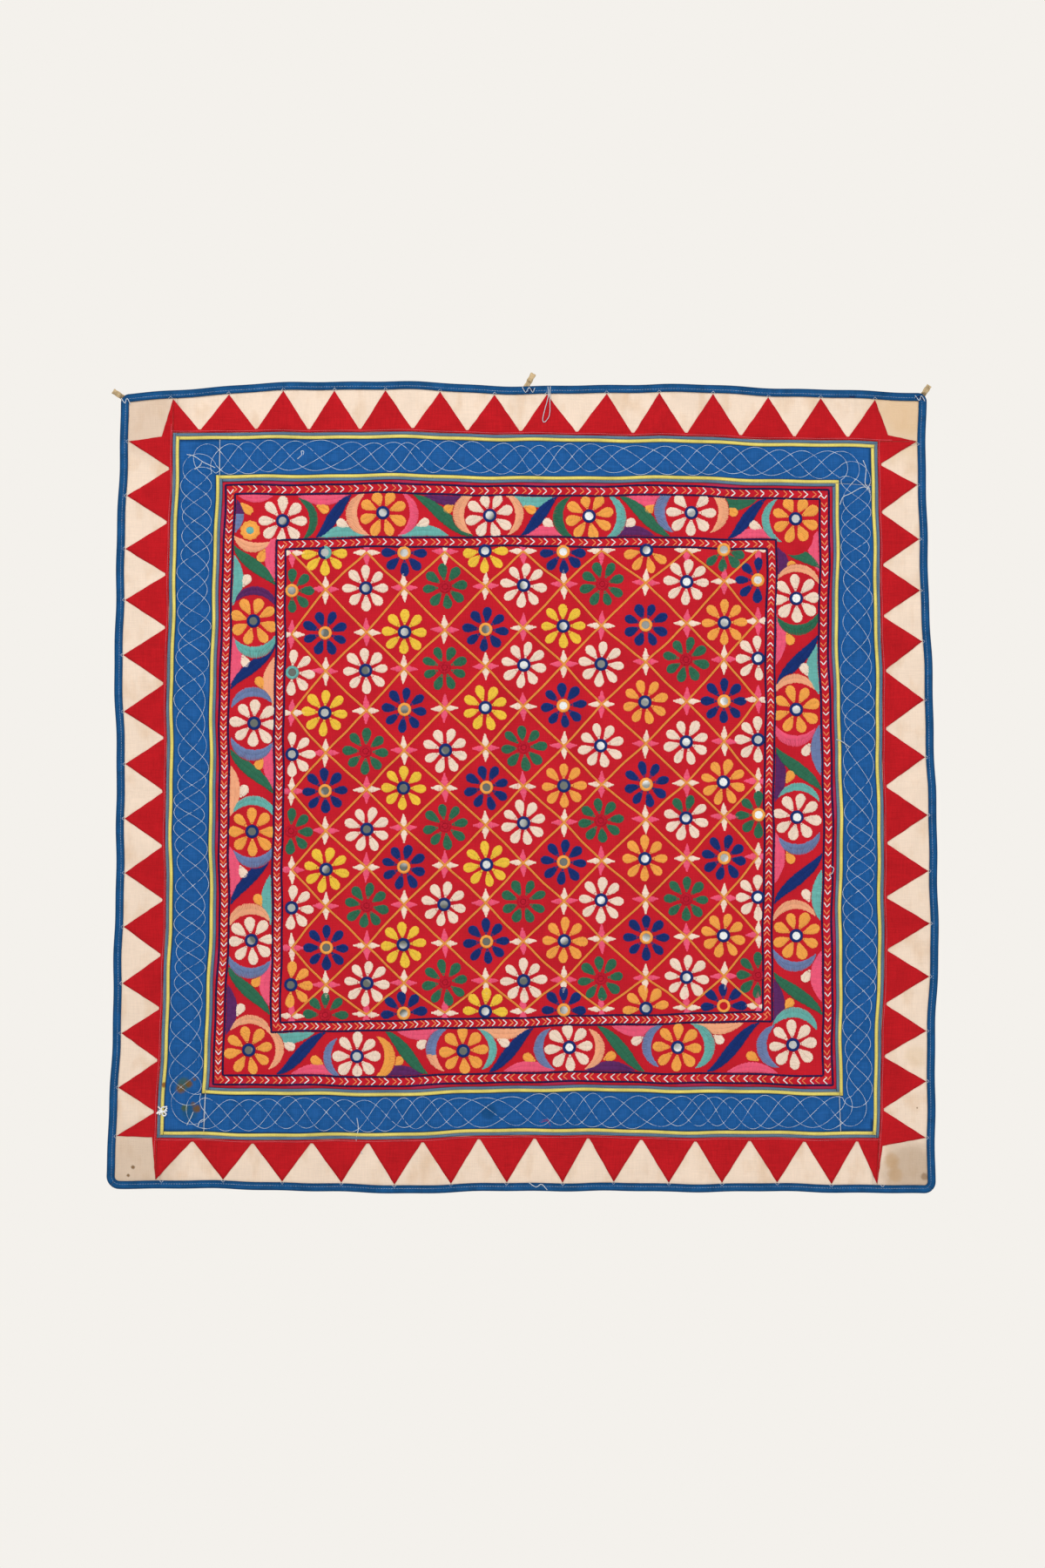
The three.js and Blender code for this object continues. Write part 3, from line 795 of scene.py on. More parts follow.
# Rows of the field: z at its left and right sides, to the nearest 5 mm, and the flowers from left
# to right, with the degrees by which each is turned clockwise from a petal straight up.
# Y yellow, N navy, O orange, C cream, g green; n and G are navy and green without a mirror.
FIELD_ROWS = (
    (-245, -240, "YNYNOg", (0, 0, 0, -4, -12, 4)),
    (-300, -285, "gCGCGCN", (0, 0, -8, 8, -17, 5, 2)),
    (-365, -345, "NYNYNO", (24, 2, 6, 0, 22, 0)),
    (-420, -400, "CCGCCGC", (5, -4, 22, 12, 7, 14, -2)),
    (-480, -460, "YNYNON", (4, 7, 27, -6, -14, 1)),
    (-540, -520, "CGCGCCC", (1, 4, 19, -5, -14, -17, 0)),
    (-595, -580, "NYNONO", (-2, 2, -16, -2, -14, 16)),
    (-655, -630, "GCGCGCg", (3, 20, -10, -14, -8, 15, -1)),
    (-710, -690, "YNYNON", (13, 16, -8, 6, 0, 12)),
    (-765, -750, "CGCGCGC", (5, 11, 12, 22, 3, 2, 0)),
    (-825, -805, "NYNONO", (1, -4, -4, 2, 0, 14)),
    (-880, -865, "OCGCGCG", (3, 6, -10, -3, -7, 6, 0)),
    (-925, -910, "GNYNOn", (2, -6, 2, 0, -10, -2)),
)
FIELD_COLUMNS = (-345, -295, -235, -180, -120, -60, -5, 55, 110, 175, 235, 290, 340)
FIELD_HALF = 350.0
FIELD_STEP = 50.0  # how far a column outside the field lies from the last one in it
LAST = 12  # the last row and column of the field
DYES = {"Y": "yellow", "N": "navy", "O": "orange", "C": "cream", "G": "green"}
TEAL_RINGS = {(0, 0): 0.5, (3, 0): 1.0}  # rings mended in teal, as (row, flower) and how much of them
GREEN_PETALS = {(7, 5): (0, 7)}  # petals mended in green, as (row, flower) and which of the eight
# Crossings whose two colours are changed over, as (row, column).
SWAPPED_STARS = {(0, 4), (2, 4), (1, 11), (6, 0), (6, 12), (8, 0), (8, 12), (10, 0), (10, 12)}
FIELD_FLOWER = {"heart": 10.2, "reach": 33.2, "width": 13.8}
BORDER_FLOWER = {"heart": 10.8, "reach": 35.2, "width": 15.6}
MIRROR_RING = {"inner": 5.7, "outer": 10.0}
RED_HEART = ((4.2, 9.2, 0.5, 22), (0.3, 4.4, 0.4, 10))  # inner and outer radius, rise, threads
STAR = {"up": 22.5, "up_width": 10.6, "across": 21.5, "across_width": 10.0}


def field_limits():
    return ring("inner_chain", -CHAIN_BAND - 1.2)


def field_point(row, column):
    """The plan point of a lattice node; rows and columns one step outside are allowed."""
    x = np.interp(column, range(LAST + 1), FIELD_COLUMNS)
    x += FIELD_STEP * min(column, 0) + FIELD_STEP * max(column - LAST, 0)
    held = min(max(row, 0), LAST)
    inward = 1 if row <= 0 else -1
    share = (x + FIELD_HALF) / (2 * FIELD_HALF)
    place = lambda r: FIELD_ROWS[r][0] * (1 - share) + FIELD_ROWS[r][1] * share
    z = place(held)
    if row != held:
        z += place(held) - place(held + inward)
    return np.array([x, z])


def field_flowers():
    """Each flower of the field: its row and number, its place, its letter and its turn."""
    rng = np.random.default_rng(11)
    for row, (_, _, letters, turns) in enumerate(FIELD_ROWS):
        for k, (letter, turn) in enumerate(zip(letters, turns)):
            x, z = field_point(row, 2 * k + (row + 1) % 2) + rng.uniform(-1.3, 1.3, 2)
            yield (row, k), x, z, letter, turn


def field_crossings():
    for row in range(LAST + 1):
        for column in range(row % 2, LAST + 1, 2):
            yield row, column, field_point(row, column)


def lattice_paths():
    """The diagonals through the crossings, as plan paths that run past the field's edges."""
    rng = np.random.default_rng(12)
    paths = []
    for lean in (1, -1):
        for start in range(-14, 28, 2):
            nodes = [(row, start + lean * row) for row in range(LAST + 1)]
            nodes = [field_point(row, column) for row, column in nodes if 0 <= column <= LAST]
            if len(nodes) < 2:
                continue
            pieces = []
            for a, b in zip(nodes[:-1], nodes[1:]):
                t = np.linspace(0, 1, 16)[:-1, None]
                side = left_of(b - a) / how_long(b - a)
                bow = rng.uniform(-1.2, 1.2) * np.sin(np.pi * t)
                bow = bow + rng.uniform(-0.5, 0.5) * np.sin(3 * np.pi * t)
                pieces.append(a + (b - a) * t + side * bow)
            paths.append(np.concatenate([*pieces, [nodes[-1]]]))
    return paths


def runs_inside(path, limits):
    """The stretches of a plan path that lie inside a ring of lines."""
    kept = inside(path, limits)
    cuts = np.flatnonzero(np.diff(kept.astype(int))) + 1
    stretches = np.split(np.arange(len(path)), cuts)
    return [path[s] for s in stretches if kept[s[0]] and len(s) > 1]


def offset_path(path, offset):
    """A plan path moved to its left."""
    return path + offset * left_of(unit(np.gradient(path, axis=0)))


# ---- The scroll border ----

BORDER_DYES = {"top": "COCOCO", "right": "COCOC", "bottom": "OCOCO", "left": "OCOC"}
BORDER_TURNS = {
    "top": (2, 24, -16, -13, 1, 20),
    "right": (-3, -16, 11, -19, -5),
    "bottom": (-12, 1, -3, -5, 3),
    "left": (16, 5, 0, -5),
}

# What fills each gap between two flowers. The first crescent hugs the first flower, with a bud
# and an edge segment beside it; a leaf crosses the band; the second three lie beyond the leaf.
# The leaf starts and ends at these millimetres from the two flowers.
GAPS = {
    # from, to, leaf start, leaf end, then the dyes of the crescent, bud, segment, leaf, bud,
    # segment and crescent; - is a piece left out, and a/b is a above b
    "top": (
        ("top_1", "top_2", 48, 45, "green orange pink navy cream teal peach"),
        ("top_2", "top_3", 44, 24, "pink cream teal green orange purple peach"),
        ("top_3", "top_4", 46, 46, "peach orange teal navy cream pink green"),
        ("top_4", "top_5", 44, 31, "teal cream purple green orange pink violet"),
        ("top_5", "top_6", 54, 43, "peach orange green navy cream pink teal"),
    ),
    "right": (
        ("top_6", "right_1", 30, 44, "- - pink green orange purple peach"),
        ("right_1", "right_2", 53, 30, "green orange pink navy cream teal peach"),
        ("right_2", "right_3", 55, 38, "pink cream violet green orange purple teal"),
        ("right_3", "right_4", 52, 46, "violet orange pink navy cream teal peach"),
        ("right_4", "right_5", 53, 43, "violet cream pink green orange purple teal"),
    ),
    "bottom": (
        ("bottom_1", "bottom_2", 40, 45, "peach cream teal navy orange pink violet"),
        ("bottom_2", "bottom_3", 41, 51, "orange orange purple green cream pink violet/peach"),
        ("bottom_3", "bottom_4", 37, 52, "teal cream peach navy orange pink violet"),
        ("bottom_4", "bottom_5", 40, 48, "peach orange purple green cream pink violet"),
        ("bottom_5", "right_5", 42, 48, "teal cream peach navy orange pink violet"),
    ),
    "left": (
        ("disc", "left_1", 44, 52, "peach orange pink green cream teal purple"),
        ("left_1", "left_2", 33, 49, "teal cream pink navy orange peach violet"),
        ("left_2", "left_3", 38, 55, "violet orange pink green cream peach teal"),
        ("left_3", "left_4", 28, 52, "violet cream pink navy orange teal peach"),
        ("left_4", "bottom_1", 38, 51, "violet orange pink green cream purple peach"),
    ),
}
DISC = {"x": -406.0, "z": -212.0, "radius": 14.0, "heart": 5.8}
CORNER = {
    "top": (-424, -372, 34, 11),  # its segment from x to x, threads, height
    "left": (-166, -216, 32, 12),  # its segment from z to z, threads, height
    "parting": -188,  # where the left segment's dye changes
    "bud": ((-420.0, -172.0), (-403.0, -187.0)),
}
DISC_BOW = {"centre": (-391.7, -160.2), "aim": 190.0, "radius": 70.0, "thick": 15.0, "span": 23.4}
CRESCENT = {"radius": 38.5, "thick": 14.0, "span": 53.0}
SEGMENT = {"from": 22.0, "length": 75.0, "height": 16.4}
# A bud's pointed tip and round end, as millimetres from its flower and as shares of the way from
# the band's middle to its edge.
BUD = {"near": 50.0, "far": 67.0, "width": 13.2, "tip": 0.5, "round": 0.25}
LEAF_WIDTH = {"navy": 16.6, "green": 17.5}
SHORT_GAP = 146.0  # in a gap shorter than this the segments and buds are drawn together


def flower_places():
    """The plan centre of every flower of the scroll border, from its mirror in the frame."""
    places = {"disc": np.array([DISC["x"] + 2, DISC["z"] + 22])}
    for side, dyes in BORDER_DYES.items():
        for k in range(1, len(dyes) + 1):
            low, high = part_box(f"mirror_{side}_{k}")
            middle = (low + high) / 2 / MM
            places[f"{side}_{k}"] = np.array([middle.x, middle.z])
    return places


def bow_round(centre, aim, rng):
    """The bow of a crescent; aim is its middle as degrees clockwise from straight up."""
    return {
        "centre": centre,
        "aim": aim,
        "radius": CRESCENT["radius"] * rng.uniform(0.98, 1.05),
        "thick": CRESCENT["thick"] * rng.uniform(0.8, 1.2),
        "span": CRESCENT["span"] * rng.uniform(0.94, 1.05),
    }


def crescent(bow, rng):
    """Satin over the crescent of a bow."""
    count = max(8, round(2 * math.radians(bow["span"]) * bow["radius"] / 1.5))
    t = (np.arange(count) + 0.5) / count
    angle = bow["aim"] + bow["span"] * (2 * t - 1)
    inner = bow["centre"] + turned(bow["radius"], angle)
    outer = bow["centre"] + turned(bow["radius"] + bow["thick"] * lens_share(t), angle)
    return satin(outer, inner, rng)


def clear_of(bow, points):
    """True for plan points outside a crescent and the round that it hugs."""
    away = points - bow["centre"]
    angle = np.degrees(np.arctan2(away[..., 0], away[..., 1]))
    turn = (angle - bow["aim"] + 180) % 360 - 180
    share = lens_share((1 + turn / bow["span"]) / 2)
    reach = bow["radius"] - 3 + (bow["thick"] + 3.8) * share
    return how_long(away) > reach


def gap_shapes(side, gap, places, rng):
    """The threads of one gap of the scroll border, as (dye, threads)."""
    start, end, leaf_start, leaf_end, dyes = gap
    crescent_1, bud_1, segment_1, leaf, bud_2, segment_2, crescent_2 = dyes.split()
    a, b = places[start], places[end]
    axis = 1 if is_upright(side) else 0
    step = -1 if is_upright(side) else 1
    length = abs(b[axis] - a[axis])
    first = 1 if (leaf == "navy") == (side in ("top", "left")) else -1  # +1: the outer edge
    outer_line = line("outer_chain", side, -CHAIN_BAND - 2.0)
    inner_line = line("inner_chain", side, 2.0)

    def spot(u, v):
        """A plan point u along the gap and v across it, -1 on the inner edge to 1 on the outer."""
        along = a[axis] + step * np.asarray(u, float)
        v = np.asarray(v, float)
        across = (1 + v) / 2 * outer_line(along) + (1 - v) / 2 * inner_line(along)
        return placed(side, along, across)

    def segment(u_from, u_to, edge):
        u = np.linspace(u_from, u_to, max(6, round(abs(u_to - u_from) / 1.5)))
        t = (u - u_from) / (u_to - u_from)
        base = spot(u, edge)
        rise = SEGMENT["height"] * lens_share(t) * rng.uniform(0.9, 1.05)
        inward = spot(u, 0) - base
        inward /= how_long(inward)[:, None]
        return satin(base + inward * rise[:, None], base, rng)

    def bud(u_point, u_round, edge):
        tip, back = spot(u_point, edge * BUD["tip"]), spot(u_round, edge * BUD["round"])
        spine = tip + (back - tip) * np.linspace(0, 1, 8)[:, None]
        return shape_threads(spine, BUD["width"], petal_share, 1.6, rng, slant=-1.0)

    squeeze = min(1.0, length / SHORT_GAP)
    reach = {key: SEGMENT[key] * squeeze for key in ("from", "length")}
    near, far = BUD["near"] * squeeze, BUD["far"] * squeeze
    last = length - reach["from"]
    filled = [(segment_1, segment(reach["from"], reach["from"] + reach["length"], first), 0.0)]
    filled.append((segment_2, segment(last, last - reach["length"], -first), 0.0))
    if bud_1 != "-":
        filled.append((bud_1, bud(near, far, first), 0.3))
    filled.append((bud_2, bud(length - near, length - far, -first), 0.3))
    t = np.linspace(0, 1, 24)
    across = -first * (1 - 0.7 * t - 1.3 * t * t * (3 - 2 * t))
    spine = spot(leaf_start + (length - leaf_end - leaf_start) * t, across)
    blade = shape_threads(spine, LEAF_WIDTH[leaf], lens_share, 1.5, rng, slant=1.5)
    filled.append((leaf, blade, 0.5))
    heading = 180 if is_upright(side) else 90
    tilt = (-6 if side in ("top", "left") else 6) * first
    bows = [bow_round(a, heading + tilt, rng), bow_round(b, heading + 180 + tilt, rng)]
    if start == "disc":
        bows[0] = DISC_BOW
    in_gap = lambda points: clear_of(bows[0], points) & clear_of(bows[1], points)
    made = []
    for dye, threads, lift in filled:
        threads = clipped(threads, in_gap)
        threads[..., 2] += lift
        made.append((dye, threads))
    if crescent_1 != "-":
        made.append((crescent_1, crescent(bows[0], rng)))
    threads = crescent(bows[1], rng)
    upper = threads[:, 0, 1] > b[1] - 6
    upper_dye, _, lower_dye = crescent_2.partition("/")
    made += [(upper_dye, threads[upper]), (lower_dye or upper_dye, threads[~upper])]
    return made


def corner_shapes(rng):
    """The pieces of the scroll border's top left corner: a disc, a bud and edge segments."""
    top = line("outer_chain", "top", -CHAIN_BAND - 2.0)
    left = line("outer_chain", "left", -CHAIN_BAND - 2.0)
    start, end, count, height = CORNER["top"]
    x = np.linspace(start, end, count)
    base = np.stack([x, top(x)], -1)
    drop = height * lens_share((x - x[0]) / (x[-1] - x[0]))
    made = [("pink", satin(base - np.stack([0 * x, drop], -1), base, rng))]
    start, end, count, height = CORNER["left"]
    z = np.linspace(start, end, count)
    base = np.stack([left(z), z], -1)
    out = height * lens_share((z - z[0]) / (z[-1] - z[0]))
    threads = satin(base + np.stack([out, 0 * z], -1), base, rng)
    upper = threads[:, 0, 1] > CORNER["parting"]
    made += [("purple", threads[upper]), ("violet", threads[~upper])]
    spine = np.array(CORNER["bud"])
    spine = spine[0] + (spine[1] - spine[0]) * np.linspace(0, 1, 8)[:, None]
    made.append(("orange", shape_threads(spine, 13.0, petal_share, 1.6, rng, slant=1.2)))
    angles = np.linspace(0, 360, 49)[:-1]
    centre = np.array([DISC["x"], DISC["z"]])
    rim = DISC["radius"] + 0.7 * np.cos(np.radians(10 * angles))
    lobes = satin(centre + turned(rim, angles), centre + turned(DISC["heart"], angles), rng)
    made.append(("orange", lobes))
    x = np.linspace(-0.85, 0.85, 8) * DISC["heart"]
    half = np.sqrt(DISC["heart"] ** 2 - x**2)
    low, high = np.stack([x, -half], -1), np.stack([x, half], -1)
    made.append(("teal", satin(centre + low, centre + high, rng, rows=1)))
    return made


# ---- Chain lines, chevrons and quilting ----

CHEVRONS = (
    # ring, side, pitch, half height, direction along the side, where it turns round (or None)
    ("outer_chain", "top", 10.6, 5.5, 1, None),
    ("outer_chain", "left", 7.2, 4.7, -1, None),
    ("outer_chain", "right", 9.4, 4.7, -1, None),
    ("outer_chain", "bottom", 9.7, 5.6, 1, -127),
    ("inner_chain", "top", 9.8, 5.2, 1, None),
    ("inner_chain", "left", 7.4, 4.6, -1, None),
    ("inner_chain", "right", 8.4, 4.6, 1, None),
    ("inner_chain", "bottom", 8.1, 5.4, 1, None),
)
# Half the length of a chevron, and how far two neighbours are drawn together, in pitches.
CHEVRON = {"half": 3.1, "pairing": 0.09}
GUILLOCHE = {"reach": 0.42, "strands": 4}  # how far a wave swings out, as a share of the band
WAVES = {"top": 126.0, "right": 112.0, "bottom": 120.0, "left": 106.0}  # length of one wave


def side_path(name, side, offset, step=5.0):
    """A plan path along one side of a ring of lines, from corner to corner."""
    lines = ring(name, offset)
    low, high = ("bottom", "top") if is_upright(side) else ("left", "right")
    start = meeting(lines[side], lines[low])[0]
    finish = meeting(lines[side], lines[high])[0]
    along = np.linspace(start, finish, int(abs(finish - start) / step))
    return placed(side, along, lines[side](along))


def ring_path(name, offset):
    """The closed plan path of a ring of lines."""
    top, right, bottom, left = (side_path(name, side, offset) for side in SIDES)
    parts = [top, right[::-1][1:], bottom[::-1][1:], left[1:]]
    return np.concatenate(parts)


def chevron_threads():
    """The V stitches of both chevron bands, in two dyes that alternate."""
    rng = np.random.default_rng(14)
    dyed = {"bright": [], "salmon": []}
    for name, side, pitch, half, direction, turn_at in CHEVRONS:
        path = side_path(name, side, -CHAIN_BAND / 2)
        points, _, normal = evenly(path, pitch)
        forward = -left_of(normal)
        for k, (point, ahead, left) in enumerate(zip(points, forward, normal)):
            way = -direction if turn_at is not None and point[0] > turn_at else direction
            ahead = ahead * way
            point = point + ahead * (-1 if k % 2 else 1) * CHEVRON["pairing"] * pitch
            apex = point + ahead * (CHEVRON["half"] + rng.uniform(-0.6, 0.6))
            for sign in (1, -1):
                foot = point - ahead * (CHEVRON["half"] + rng.uniform(-0.6, 0.7))
                foot = foot + left * sign * (half + rng.uniform(-0.5, 0.3))
                past = apex + (apex - foot) * 0.06
                dye = "bright" if k % 2 else "salmon"
                dyed[dye].append([[*foot, 0.1], [*past, 0.15 + 0.1 * sign]])
    return dyed


def quilted_rows(step=4.0):
    """Rows across the blue band, as pairs of plan points, clockwise all the way round it, and how
    many waves there are to a millimetre at each. The rows fan out at the corners."""
    outer = ring("outer_seam", -YELLOW_PIPING)
    straight = []
    for side in SIDES:
        low = side_path("inner_seam", side, YELLOW_PIPING, step)
        along = low[:, 1] if is_upright(side) else low[:, 0]
        pairs = np.stack([low, placed(side, along, outer[side](along))], 1)
        straight.append(pairs if side in ("top", "left") else pairs[::-1])
    rows, rate = [], []
    for side, pairs, following in zip(SIDES, straight, straight[1:] + straight[:1]):
        t = np.linspace(0, np.pi / 2, 16)[1:-1, None]
        here, after = pairs[-1, 1] - pairs[-1, 0], following[0, 1] - following[0, 0]
        spokes = here * np.cos(t) + after * np.sin(t)
        rows += [pairs, pairs[-1, 0] + np.stack([0 * spokes, spokes], 1)]
        rate.append(np.full(len(pairs) + len(spokes), 1 / WAVES[side]))
    return np.concatenate(rows), np.concatenate(rate)


def strands():
    """The plan paths of the interlaced waves quilted round the blue band."""
    rng = np.random.default_rng(15)
    rows, rate = quilted_rows()
    low, high = rows[:, 0], rows[:, 1]
    steps = how_long(np.diff((low + high) / 2, axis=0, append=(low[:1] + high[:1]) / 2))
    round_it = 2 * np.pi * np.cumsum(steps) / steps.sum()
    waves = np.cumsum(steps * rate)
    phase = 2 * np.pi * waves / waves[-1] * round(waves[-1])
    drift = 0.45 * np.sin(7 * round_it + 1.0) + 0.3 * np.sin(15 * round_it)
    paths = []
    for k in range(GUILLOCHE["strands"]):
        slip = 0.3 * np.sin(19 * round_it + rng.uniform(0, 6))
        sway = GUILLOCHE["reach"] * (1 + 0.13 * np.sin(12 * round_it + rng.uniform(0, 6)))
        share = 0.5 + sway * np.sin(phase + 2 * np.pi * k / GUILLOCHE["strands"] + drift + slip)
        path = low + (high - low) * share[:, None]
        paths.append(np.concatenate([path, path[:1]]))
    return paths


def butt_seams():
    """The plan paths of the stitched joints of the blue band; the top right one is a bare crease."""
    inner, outer = ring("inner_seam", GAP / 2), ring("outer_seam", -GAP / 2)
    paths = []
    for side in SIDES:
        rows = strip_grid(side, inner, outer, 4.0, (0.0, 1.0))
        for (kind, _), end in zip(ENDS[side], (0, -1)):
            if kind == "butt" and side != "right":
                across = rows[end, 1] - rows[end, 0]
                hidden = YELLOW_PIPING / how_long(across)
                t = np.linspace(hidden, 1 - hidden, 14)[:, None]
                paths.append(rows[end, 0] + across * t)
    return paths


# ---- Cloth pieces ----


ROUND_STEPS = (45, 34, 22, 11, 0)  # degrees from a corner's mitre round to its side


def round_centre(corner):
    """The centre of the round at one corner of the outline."""
    lines = ring("edge", -corner["radius"])
    return np.array(meeting(lines[corner["flat"]], lines[corner["upright"]]))


def outline_sections(side, step=8.0):
    """Points and inward directions along one side of the bound outline, mitre to mitre."""
    rounds = [(round_centre(corner), corner["radius"]) for corner in CORNERS]
    k = SIDES.index(side)
    (start, start_radius), (end, end_radius) = rounds[k], rounds[(k + 1) % 4]
    edge = line("edge", side)
    axis = 1 if is_upright(side) else 0
    points, inward = [], []

    def on_round(centre, radius, turn, shift):
        out = turned(1.0, 90 * k - turn)
        points.append(centre + out * radius + shift * np.array([out[1], -out[0]]))
        inward.append(-out)

    for turn in ROUND_STEPS:
        on_round(start, start_radius, turn, GAP / 2 if turn == 45 else 0)
    along = np.linspace(start[axis], end[axis], int(abs(end[axis] - start[axis]) / step))[1:-1]
    for at, across in zip(along, edge(along)):
        points.append(placed(side, at, across))
        inward.append(placed(side, 0.0, -float(OUTWARD[side])))
    for turn in ROUND_STEPS[::-1]:
        on_round(end, end_radius, -turn, -GAP / 2 if turn == 45 else 0)
    return np.array(points), np.array(inward)


# The folded binding's section as (inset from the outline, lift), front edge round to back edge.
BINDING_SECTION = (
    (12.0, 1.5), (12.0, 2.4), (11.2, 2.75), (8.5, 2.95), (6.4, 2.6), (5.6, 2.6), (3.2, 3.1),
    (1.2, 2.8), (0.1, 1.8), (0.0, 0.4), (0.3, -0.9), (1.4, -1.5), (6.0, -1.6), (11.2, -1.5),
    (12.0, -1.3), (12.0, -0.3), (5.0, -0.3), (0.9, -0.3), (0.9, 1.5), (5.0, 1.5),
)


def rounded_off(plan):
    """Draws ground points that lie past a corner's round back onto it."""
    plan = plan.copy()
    for corner in CORNERS:
        centre = round_centre(corner)
        out = np.array([OUTWARD[corner["upright"]], OUTWARD[corner["flat"]]])
        away = plan - centre
        limit = (corner["radius"] - GROUND_INSET) / (how_long(away) + 1e-9)
        beyond = (away * out > 0).all(-1) & (limit < 1)
        plan[beyond] = centre + away[beyond] * limit[beyond][:, None]
    return plan


def tooth_columns(side):
    """Plan pairs (foot, peak) along one applique strip, refined from its tips and valleys."""
    base = ring("outer_seam", TEETH["base"])
    valleys = line("outer_seam", side, TEETH["valley"])
    tips = ring("edge", -TEETH["tip_inset"])
    peak_line = tips[side]
    foot_line = base[side]
    point = lambda row, along: np.array([along, float(row(along))])
    ends = []
    for kind, at in ENDS[side]:
        if kind == "butt":
            seam = lambda v, at=at: base[at](v) - OUTWARD[at] * GAP
            ends.append([(np.array(meeting(foot_line, seam)), np.array(meeting(peak_line, seam)))])
            continue
        corner = meeting(foot_line, base[at])
        heel = corner[0] - OUTWARD[at] * TEETH["heel"]
        found = next(c for c in CORNERS if {c["flat"], c["upright"]} == {side, at})
        notch = found["notch"][::-1] if is_upright(side) else found["notch"]
        far = np.array(meeting(foot_line, tips[at]))
        ends.append([(np.array(corner), far), (point(foot_line, heel), np.array(notch, float))])
    low_end, high_end = ends
    spots = list(TOOTH_TIPS[side])
    heights = []
    for i, tip in enumerate(spots):
        heights.append((tip, 1.0))
        if i + 1 < len(spots):
            valley = (tip + spots[i + 1]) / 2
            heights += [(valley - TEETH["blunt"], 0.0), (valley + TEETH["blunt"], 0.0)]
    if ENDS[side][0][0] == "butt":
        heights = heights[1:]
    if ENDS[side][1][0] == "butt":
        heights = heights[:-1]
    clear_low = low_end[-1][0][0] + TEETH["heel"]
    clear_high = high_end[-1][0][0] - TEETH["heel"]
    middle = []
    for along, height in heights:
        peak = (1 - height) * valleys(along) + height * peak_line(along)
        foot = point(foot_line, min(max(along, clear_low), clear_high))
        middle.append((foot, np.array([along, float(peak)])))
    return low_end + middle + high_end[::-1]


def tooth_plan(side, steps=7, rows=9):
    """A grid of plan points over one applique strip."""
    columns = tooth_columns(side)
    rng = np.random.default_rng(20 + SIDES.index(side))
    fine = []
    for (foot_a, peak_a), (foot_b, peak_b) in zip(columns[:-1], columns[1:]):
        for t in np.arange(steps) / steps:
            slip = rng.uniform(-0.35, 0.35, 2) if t else 0
            fine.append((foot_a + (foot_b - foot_a) * t, peak_a + (peak_b - peak_a) * t + slip))
    fine.append(columns[-1])
    shares = np.linspace(0, 1, rows)[:, None]
    grid = np.stack([foot + (peak - foot) * shares for foot, peak in fine])
    return placed(side, grid[..., 0], grid[..., 1])


def distance_along(plan):
    """The length of a grid's middle row, and its mean width, in metres."""
    middle = plan[:, plan.shape[1] // 2]
    length = how_long(np.diff(middle, axis=0)).sum()
    width = how_long(plan[:, -1] - plan[:, 0]).mean()
    return length * MM, width * MM


# ---- Properties ----


def colour_property(name, description, hex_colour):
    settings = {"subtype": "COLOR", "size": 4, "min": 0.0, "max": 1.0}
    return bpy.props.FloatVectorProperty(
        name=name, description=description, default=linear(hex_colour), **settings
    )


def size_property(name, description, millimetre):
    return bpy.props.FloatProperty(
        name=name, description=description, default=millimetre * MM, min=0.0001, unit="LENGTH"
    )


class HangingSizes(PropertyGroup):
    """Sizes that a user would change."""

    cloth_step: size_property("Cloth grid", "Spacing of the panel's mesh lines", 8.0)
    petal_pitch: size_property("Petal stitch spacing", "Distance between threads across a petal", 1.75)
    chain_pitch: size_property("Chain stitch length", "Length of one link of the navy chain lines", 3.1)
    lattice_pitch: size_property("Lattice stitch length", "Length of one link of the lattice", 3.2)
    quilting_pitch: size_property("Quilting stitch length", "Length of one running stitch", 4.6)
    thread_width: size_property("Thread width", "Width of one flattened thread of floss", 1.95)
    view_distance: size_property("Camera distance", "How far the camera stands from the cloth", 5440.0)


